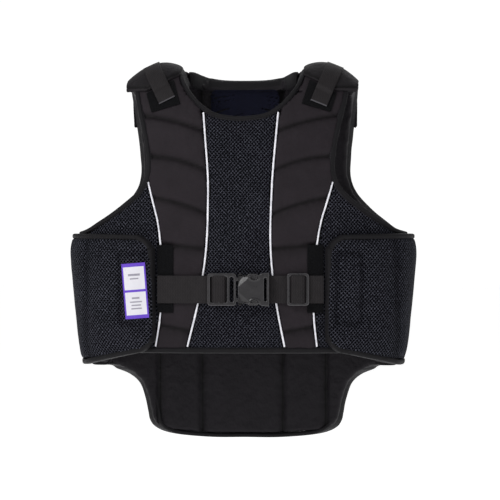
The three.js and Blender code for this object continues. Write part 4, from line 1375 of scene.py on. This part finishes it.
@dataclass
class Shoulders:
    """Shoulder tabs, their straps and the loop patches under them."""

    tab_inner: float = 86.0
    tab_outer: float = 161.0
    tab_drop: float = 19.0
    tab_slant: float = 23.0
    hem: float = 6.5
    groove: float = 1.2
    groove_up: float = 0.8
    groove_width: float = 1.5
    pucker: float = 0.35
    pucker_up: float = 4.0
    pucker_reach: float = 5.0
    strap_width: float = 24.0
    strap_wall: float = 2.0
    straps: tuple[tuple[float, float, float, float, float], ...] = (
        (-1, 128, 20, 102, -31.5), (1, 130, 20, 107, -36.3),
    )
    walls: list[Wall] = field(default_factory=list)

    def tab_edge(self, x: Array) -> Array:
        """Height of the tab's front edge at places across."""
        outward = (np.abs(x) - self.tab_inner) / (self.tab_outer - self.tab_inner)
        return -self.tab_drop + self.tab_slant * (1 - np.clip(outward / 0.6, 0, 1))

    def relief(self, wall: Wall) -> Array:
        """A stitched hem along the tab's front edge, soft puckers above it and painted shade in the groove above the
        hem.
        """
        spots = TORSO.place(wall.turn, wall.level, Layer.TAB_OUT)
        x, z = spots[:, 0], spots[:, 2]
        up = z - self.tab_edge(x)
        front = (spots[:, 1] < 0) * wall.on_outer
        wall.hem = front * smoothstep(up, -1, 1.5) * (1 - smoothstep(up, self.hem - 1, self.hem + 0.6))
        # The groove's profile, which also marks painted shade: the tab's cloth is darkened along the groove above the
        # hem.
        wall.crease = front * bell(up - self.hem - self.groove_up, self.groove_width)
        near_hem = bell(up - self.hem - self.pucker_up, self.pucker_reach)
        pucker = self.pucker * uneven(x * 0.5, 1.0, x * 0.13) * near_hem
        return front * pucker - self.groove * wall.crease

    def build(self) -> None:
        """Shapes the tabs."""
        for side in Side:
            self.walls.append(Wall(f"{side.label}_shoulder_tab", f"{side.label}_shoulder_tab_pad", 22.7,
                                   Layer.TAB_OUT, "cover_nylon", voxel=2, sink=1.6, reach=8,
                                   seed=60 + side.value, around=True, pressed=True, cap=0.8, swell=0.4,
                                   limit=27.7, fill=0.7, relief=self.relief))
        for wall in self.walls:
            wall.shape()

    def dress(self, wardrobe: Wardrobe) -> None:
        """Dresses the tabs and adds the straps and patches."""
        for wall in self.walls:
            wall.dress(wardrobe.tab)
        for row in self.straps:
            self.strap(row, wardrobe)
        loop_patches("shoulder", 70, wardrobe)

    def strap(self, row: tuple[float, float, float, float, float], wardrobe: Wardrobe) -> None:
        """One strap from the tab's crest down to the loop patch.

        Args:
            row: Side, top across, top, end across and end.
            wardrobe: The finishes.
        """
        side, top_across, top, end_across, end = row
        start, stop = np.array([side * top_across, top]), np.array([side * end_across, end])
        down = (stop - start) / np.linalg.norm(stop - start)

        def place(across: Array, along: Array) -> Array:
            centre = start + (stop - start) * along[:, None]
            x = centre[:, 0] - down[1] * (across - 0.5) * self.strap_width
            z = centre[:, 1] + down[0] * (across - 0.5) * self.strap_width
            past = smoothstep(self.tab_edge(x) - z, self.strap_wall, 7.4 + self.strap_wall)
            high = Layer.TAB_OUT + 0.6
            base = high + (Layer.PATCH_OUT + 0.3 - high) * past
            return TORSO.face(x, z, base)

        name = "left" if side < 0 else "right"
        obj = SHOP.grid(f"{name}_shoulder_webbing", 10, 34, place, (self.strap_width, 60))
        SHOP.thicken(obj, self.strap_wall, 0.5)
        SHOP.finish(obj, wardrobe.webbing, "webbing", [f"{name}_shoulder_strap"], 40)


@dataclass
class WaistBelt:
    """The belt, its side-release buckle, its slider and the loop patches behind it."""

    height: float = -292.0
    width: float = 38.0
    wall: float = 2.0
    lift: float = 3.5
    left_from: float = -114.0
    left_to: float = -16.0
    right_from: float = 36.0
    right_to: float = 114.0
    button: Triple = (20.1, 6.2, 3.8)  # place across and half sizes of the oval
    button_up: float = 16.6
    slope_x: float = 12.0
    slope_up: float = 15.5
    plug_wrap: Triple = (-40.6, -17.4, 6.4)  # from, to and how far the webbing rises over the bar
    slider_wrap: Triple = (67.6, 90.6, 6.9)

    def build(self, wardrobe: Wardrobe) -> None:
        """Builds webbing, hardware and patches.

        Args:
            wardrobe: The finishes.
        """
        self.webbing("belt_left", "left_belt_webbing", self.left_from, self.left_to, self.lift, wardrobe)
        self.webbing("belt_right", "right_belt_webbing", self.right_from, self.right_to, 0, wardrobe)
        for node, name in (("buckle_plug", "buckle_frame_and_prongs"), ("buckle_socket", "buckle_socket_shell"),
                           ("belt_slider", "belt_slider_frame")):
            obj = SHOP.copy_of(node, name)
            SHOP.remesh(obj, 0.6, 4)
            points, normals = SHOP.points(obj), SHOP.normals(obj)
            if node == "buckle_socket":
                SHOP.move(obj, self.moulded(points, normals))
            # Painted highlight mark: high where the front parts round over their edges, which the plastic paints pale.
            depth = points[:, 1].max() - points[:, 1]
            front = smoothstep(depth, 0.25 * depth.max(), 0.6 * depth.max())
            SHOP.mark(obj, "edge", front * bell(-normals[:, 1] - 0.66, 0.2))
            SHOP.finish(obj, wardrobe.plastic, "buckle_plastic", [node])
        loop_patches("waist", 80, wardrobe)

    def moulded(self, points: Array, normals: Array) -> Array:
        """The socket with its oval buttons in raised rims and its sloped corners."""
        x, z = points[:, 0], points[:, 2] - self.height
        front = smoothstep(-normals[:, 1], 0.3, 0.8)
        up = np.abs(z)
        middle, half_across, half_up = self.button
        away = np.hypot((x - middle) / half_across, (up - self.button_up) / half_up)
        rim = bell(away - 1, 0.24)
        pit = smoothstep(1 - away, 0.0, 0.45)
        slope = np.clip(0.42 * (up + 0.85 * (self.slope_x - x) - self.slope_up), 0, 5.5)
        moved = points.copy()
        moved[:, 1] += front * (slope * (1 - rim) * (away > 1) + 1.8 * pit - 0.9 * rim)
        return moved

    def webbing(self, node: str, name: str, start: float, end: float, lift: float, wardrobe: Wardrobe) -> None:
        """One length of webbing laid on the front."""

        def place(across: Array, up: Array) -> Array:
            x = start + (end - start) * across
            rise = lift * smoothstep(x, self.left_to - 51, self.left_to - 30)
            for low, high, over in (self.plug_wrap, self.slider_wrap):
                rise += over * smoothstep(x, low - 1, low + 6) * (1 - smoothstep(x, high - 6, high + 1))
            return TORSO.face(x, self.height + (up - 0.5) * self.width, Layer.BELT_IN + rise)

        obj = SHOP.grid(name, 110, 14, place, (end - start, self.width))
        SHOP.thicken(obj, self.wall, 0.5)
        SHOP.finish(obj, wardrobe.webbing, "webbing", [node], 40)


@dataclass
class Trims:
    """Piping, label and the lining patch at the neck."""

    label_x: float = -144.0
    label_z: float = -294.0
    label_width: float = 33.0
    label_height: float = 76.0
    label_turn: float = 4.5

    def build(self, wardrobe: Wardrobe, wing: Piece) -> None:
        """Builds the trims."""
        for kind in ("inner", "outer"):
            for side in Side:
                node = f"piping_{kind}_{side.label}"
                obj = SHOP.copy_of(node, f"{node}_cord")
                SHOP.remesh(obj, 0.8, 3)
                SHOP.finish(obj, wardrobe.piping, "piping", [node])
        self.label(wardrobe, wing)
        lining = Wall("neck_lining", "neck_lining_patch", -2.9, -1.9, "lining_mesh", voxel=1.2, rounds=1, sink=0,
                      fill=None, grow=0, swell=0, seed=90)
        lining.shape()
        lining.dress(wardrobe.fine)

    def label(self, wardrobe: Wardrobe, wing: Piece) -> None:
        """The woven label, laid on the wing as it has swelled.

        Args:
            wardrobe: The finishes.
            wing: The wing.
        """
        bpy.context.view_layer.update()
        graph = bpy.context.evaluated_depsgraph_get()
        tree = bvhtree.BVHTree.FromObject(wing, graph)
        turn = math.radians(self.label_turn)

        def place(across: Array, up: Array) -> Array:
            a, b = (across - 0.5) * self.label_width, (up - 0.5) * self.label_height
            x = self.label_x + a * math.cos(turn) - b * math.sin(turn)
            z = self.label_z + a * math.sin(turn) + b * math.cos(turn)
            outer, inner = TORSO.face(x, z, 50.0), TORSO.face(x, z, 25.0)
            found = []
            for start, end in zip(outer, inner):
                ray = Vector((end - start).tolist())
                hit = tree.ray_cast(Vector((start * MM).tolist()), ray.normalized())[0]
                rest = Vector((start * MM).tolist()) + ray * MM * 0.5 if hit is None else hit
                found.append(rest / MM - ray.normalized() * 0.35)
            return np.array(found)

        obj = SHOP.grid("woven_label_cloth", 12, 26, place, (1 / PATTERN, 1 / PATTERN))
        SHOP.thicken(obj, 0.5)
        SHOP.finish(obj, wardrobe.label, "label_weave", ["woven_label"], 40)


@dataclass(frozen=True)
class Studio:
    """Pale floor, soft lights and the camera at the photograph's angle."""

    azimuth: float = 2.35
    distance: float = 3.2
    aim: Triple = (0.0093, 0.0, -0.238)
    lens: float = 163.0
    floor: float = -0.75
    ambient: float = 0.42

    def build(self) -> None:
        """Sets the stage."""
        scene = bpy.context.scene
        scene.view_settings.view_transform = "Standard"
        world = bpy.data.worlds.new("studio")
        world.use_nodes = True
        tree = world.node_tree
        tree.nodes["Background"].inputs[0].default_value = (1, 1, 1, 1)
        rays = tree.nodes.new("ShaderNodeLightPath")
        strength = tree.nodes.new("ShaderNodeMapRange")
        strength.inputs["To Min"].default_value = self.ambient
        strength.inputs["To Max"].default_value = 1.05
        tree.links.new(rays.outputs["Is Camera Ray"], strength.inputs["Value"])
        tree.links.new(strength.outputs["Result"], tree.nodes["Background"].inputs[1])
        scene.world = world
        mesh = bpy.data.meshes.new("studio_floor")
        with edited(mesh) as work:
            bmesh.ops.create_grid(work, x_segments=2, y_segments=2, size=30)
            bmesh.ops.translate(work, verts=work.verts, vec=(0, 0, self.floor))
        floor = SHOP.piece("studio_floor", mesh)
        paint = Finish("studio_floor_paint")
        for name, value in (("Base Color", (0.96, 0.96, 0.96, 1)), ("Roughness", 0.9),
                            ("Emission Color", (1, 1, 1, 1)), ("Emission Strength", 0.6)):
            paint.shader.inputs[name].default_value = value
        floor.data.materials.append(paint.material)
        self.lamp("key", (-1.7, -2.1, 1.7), 1.1, 50)
        self.lamp("fill", (1.9, -2.2, 0.4), 1.6, 6)
        self.lamp("rim", (0.3, 2.2, 1.6), 1.6, 10)
        self.camera()

    def lamp(self, name: str, place: Triple, size: float, power: float) -> None:
        """One soft square lamp that looks at the garment."""
        light = bpy.data.lights.new(name, "AREA")
        light.energy, light.size = power, size
        self.stand(light, Vector(place))

    def stand(self, data: bpy.types.ID, place: Vector) -> Piece:
        """Puts a lamp or camera at a place and turns it to the garment."""
        obj = SHOP.piece(data.name, data)
        obj.location = place
        obj.rotation_euler = (Vector(self.aim) - place).to_track_quat("-Z", "Y").to_euler()
        return obj

    def camera(self) -> None:
        """The camera at the photograph's angle."""
        data = bpy.data.cameras.new("camera")
        data.lens, data.sensor_width = self.lens, 36
        angle = math.radians(self.azimuth)
        back = Vector((math.sin(angle), -math.cos(angle), 0))
        bpy.context.scene.camera = self.stand(data, Vector(self.aim) + back * self.distance)


def main() -> None:
    """Builds every sub-assembly in order."""
    logging.basicConfig(level=logging.INFO, format="%(message)s")
    wardrobe = Wardrobe()
    Studio().build()
    halves, wings, shoulders = PaddedHalves(), Wings(), Shoulders()
    halves.build()
    wings.build()
    shoulders.build()
    press([*halves.walls, *wings.walls, *shoulders.walls])
    halves.dress(wardrobe)
    wings.dress(wardrobe)
    shoulders.dress(wardrobe)
    EdgeTapes().build(wardrobe)
    WaistBelt().build(wardrobe)
    Trims().build(wardrobe, wings.walls[0].obj)


if __name__ == "__main__":
    main()
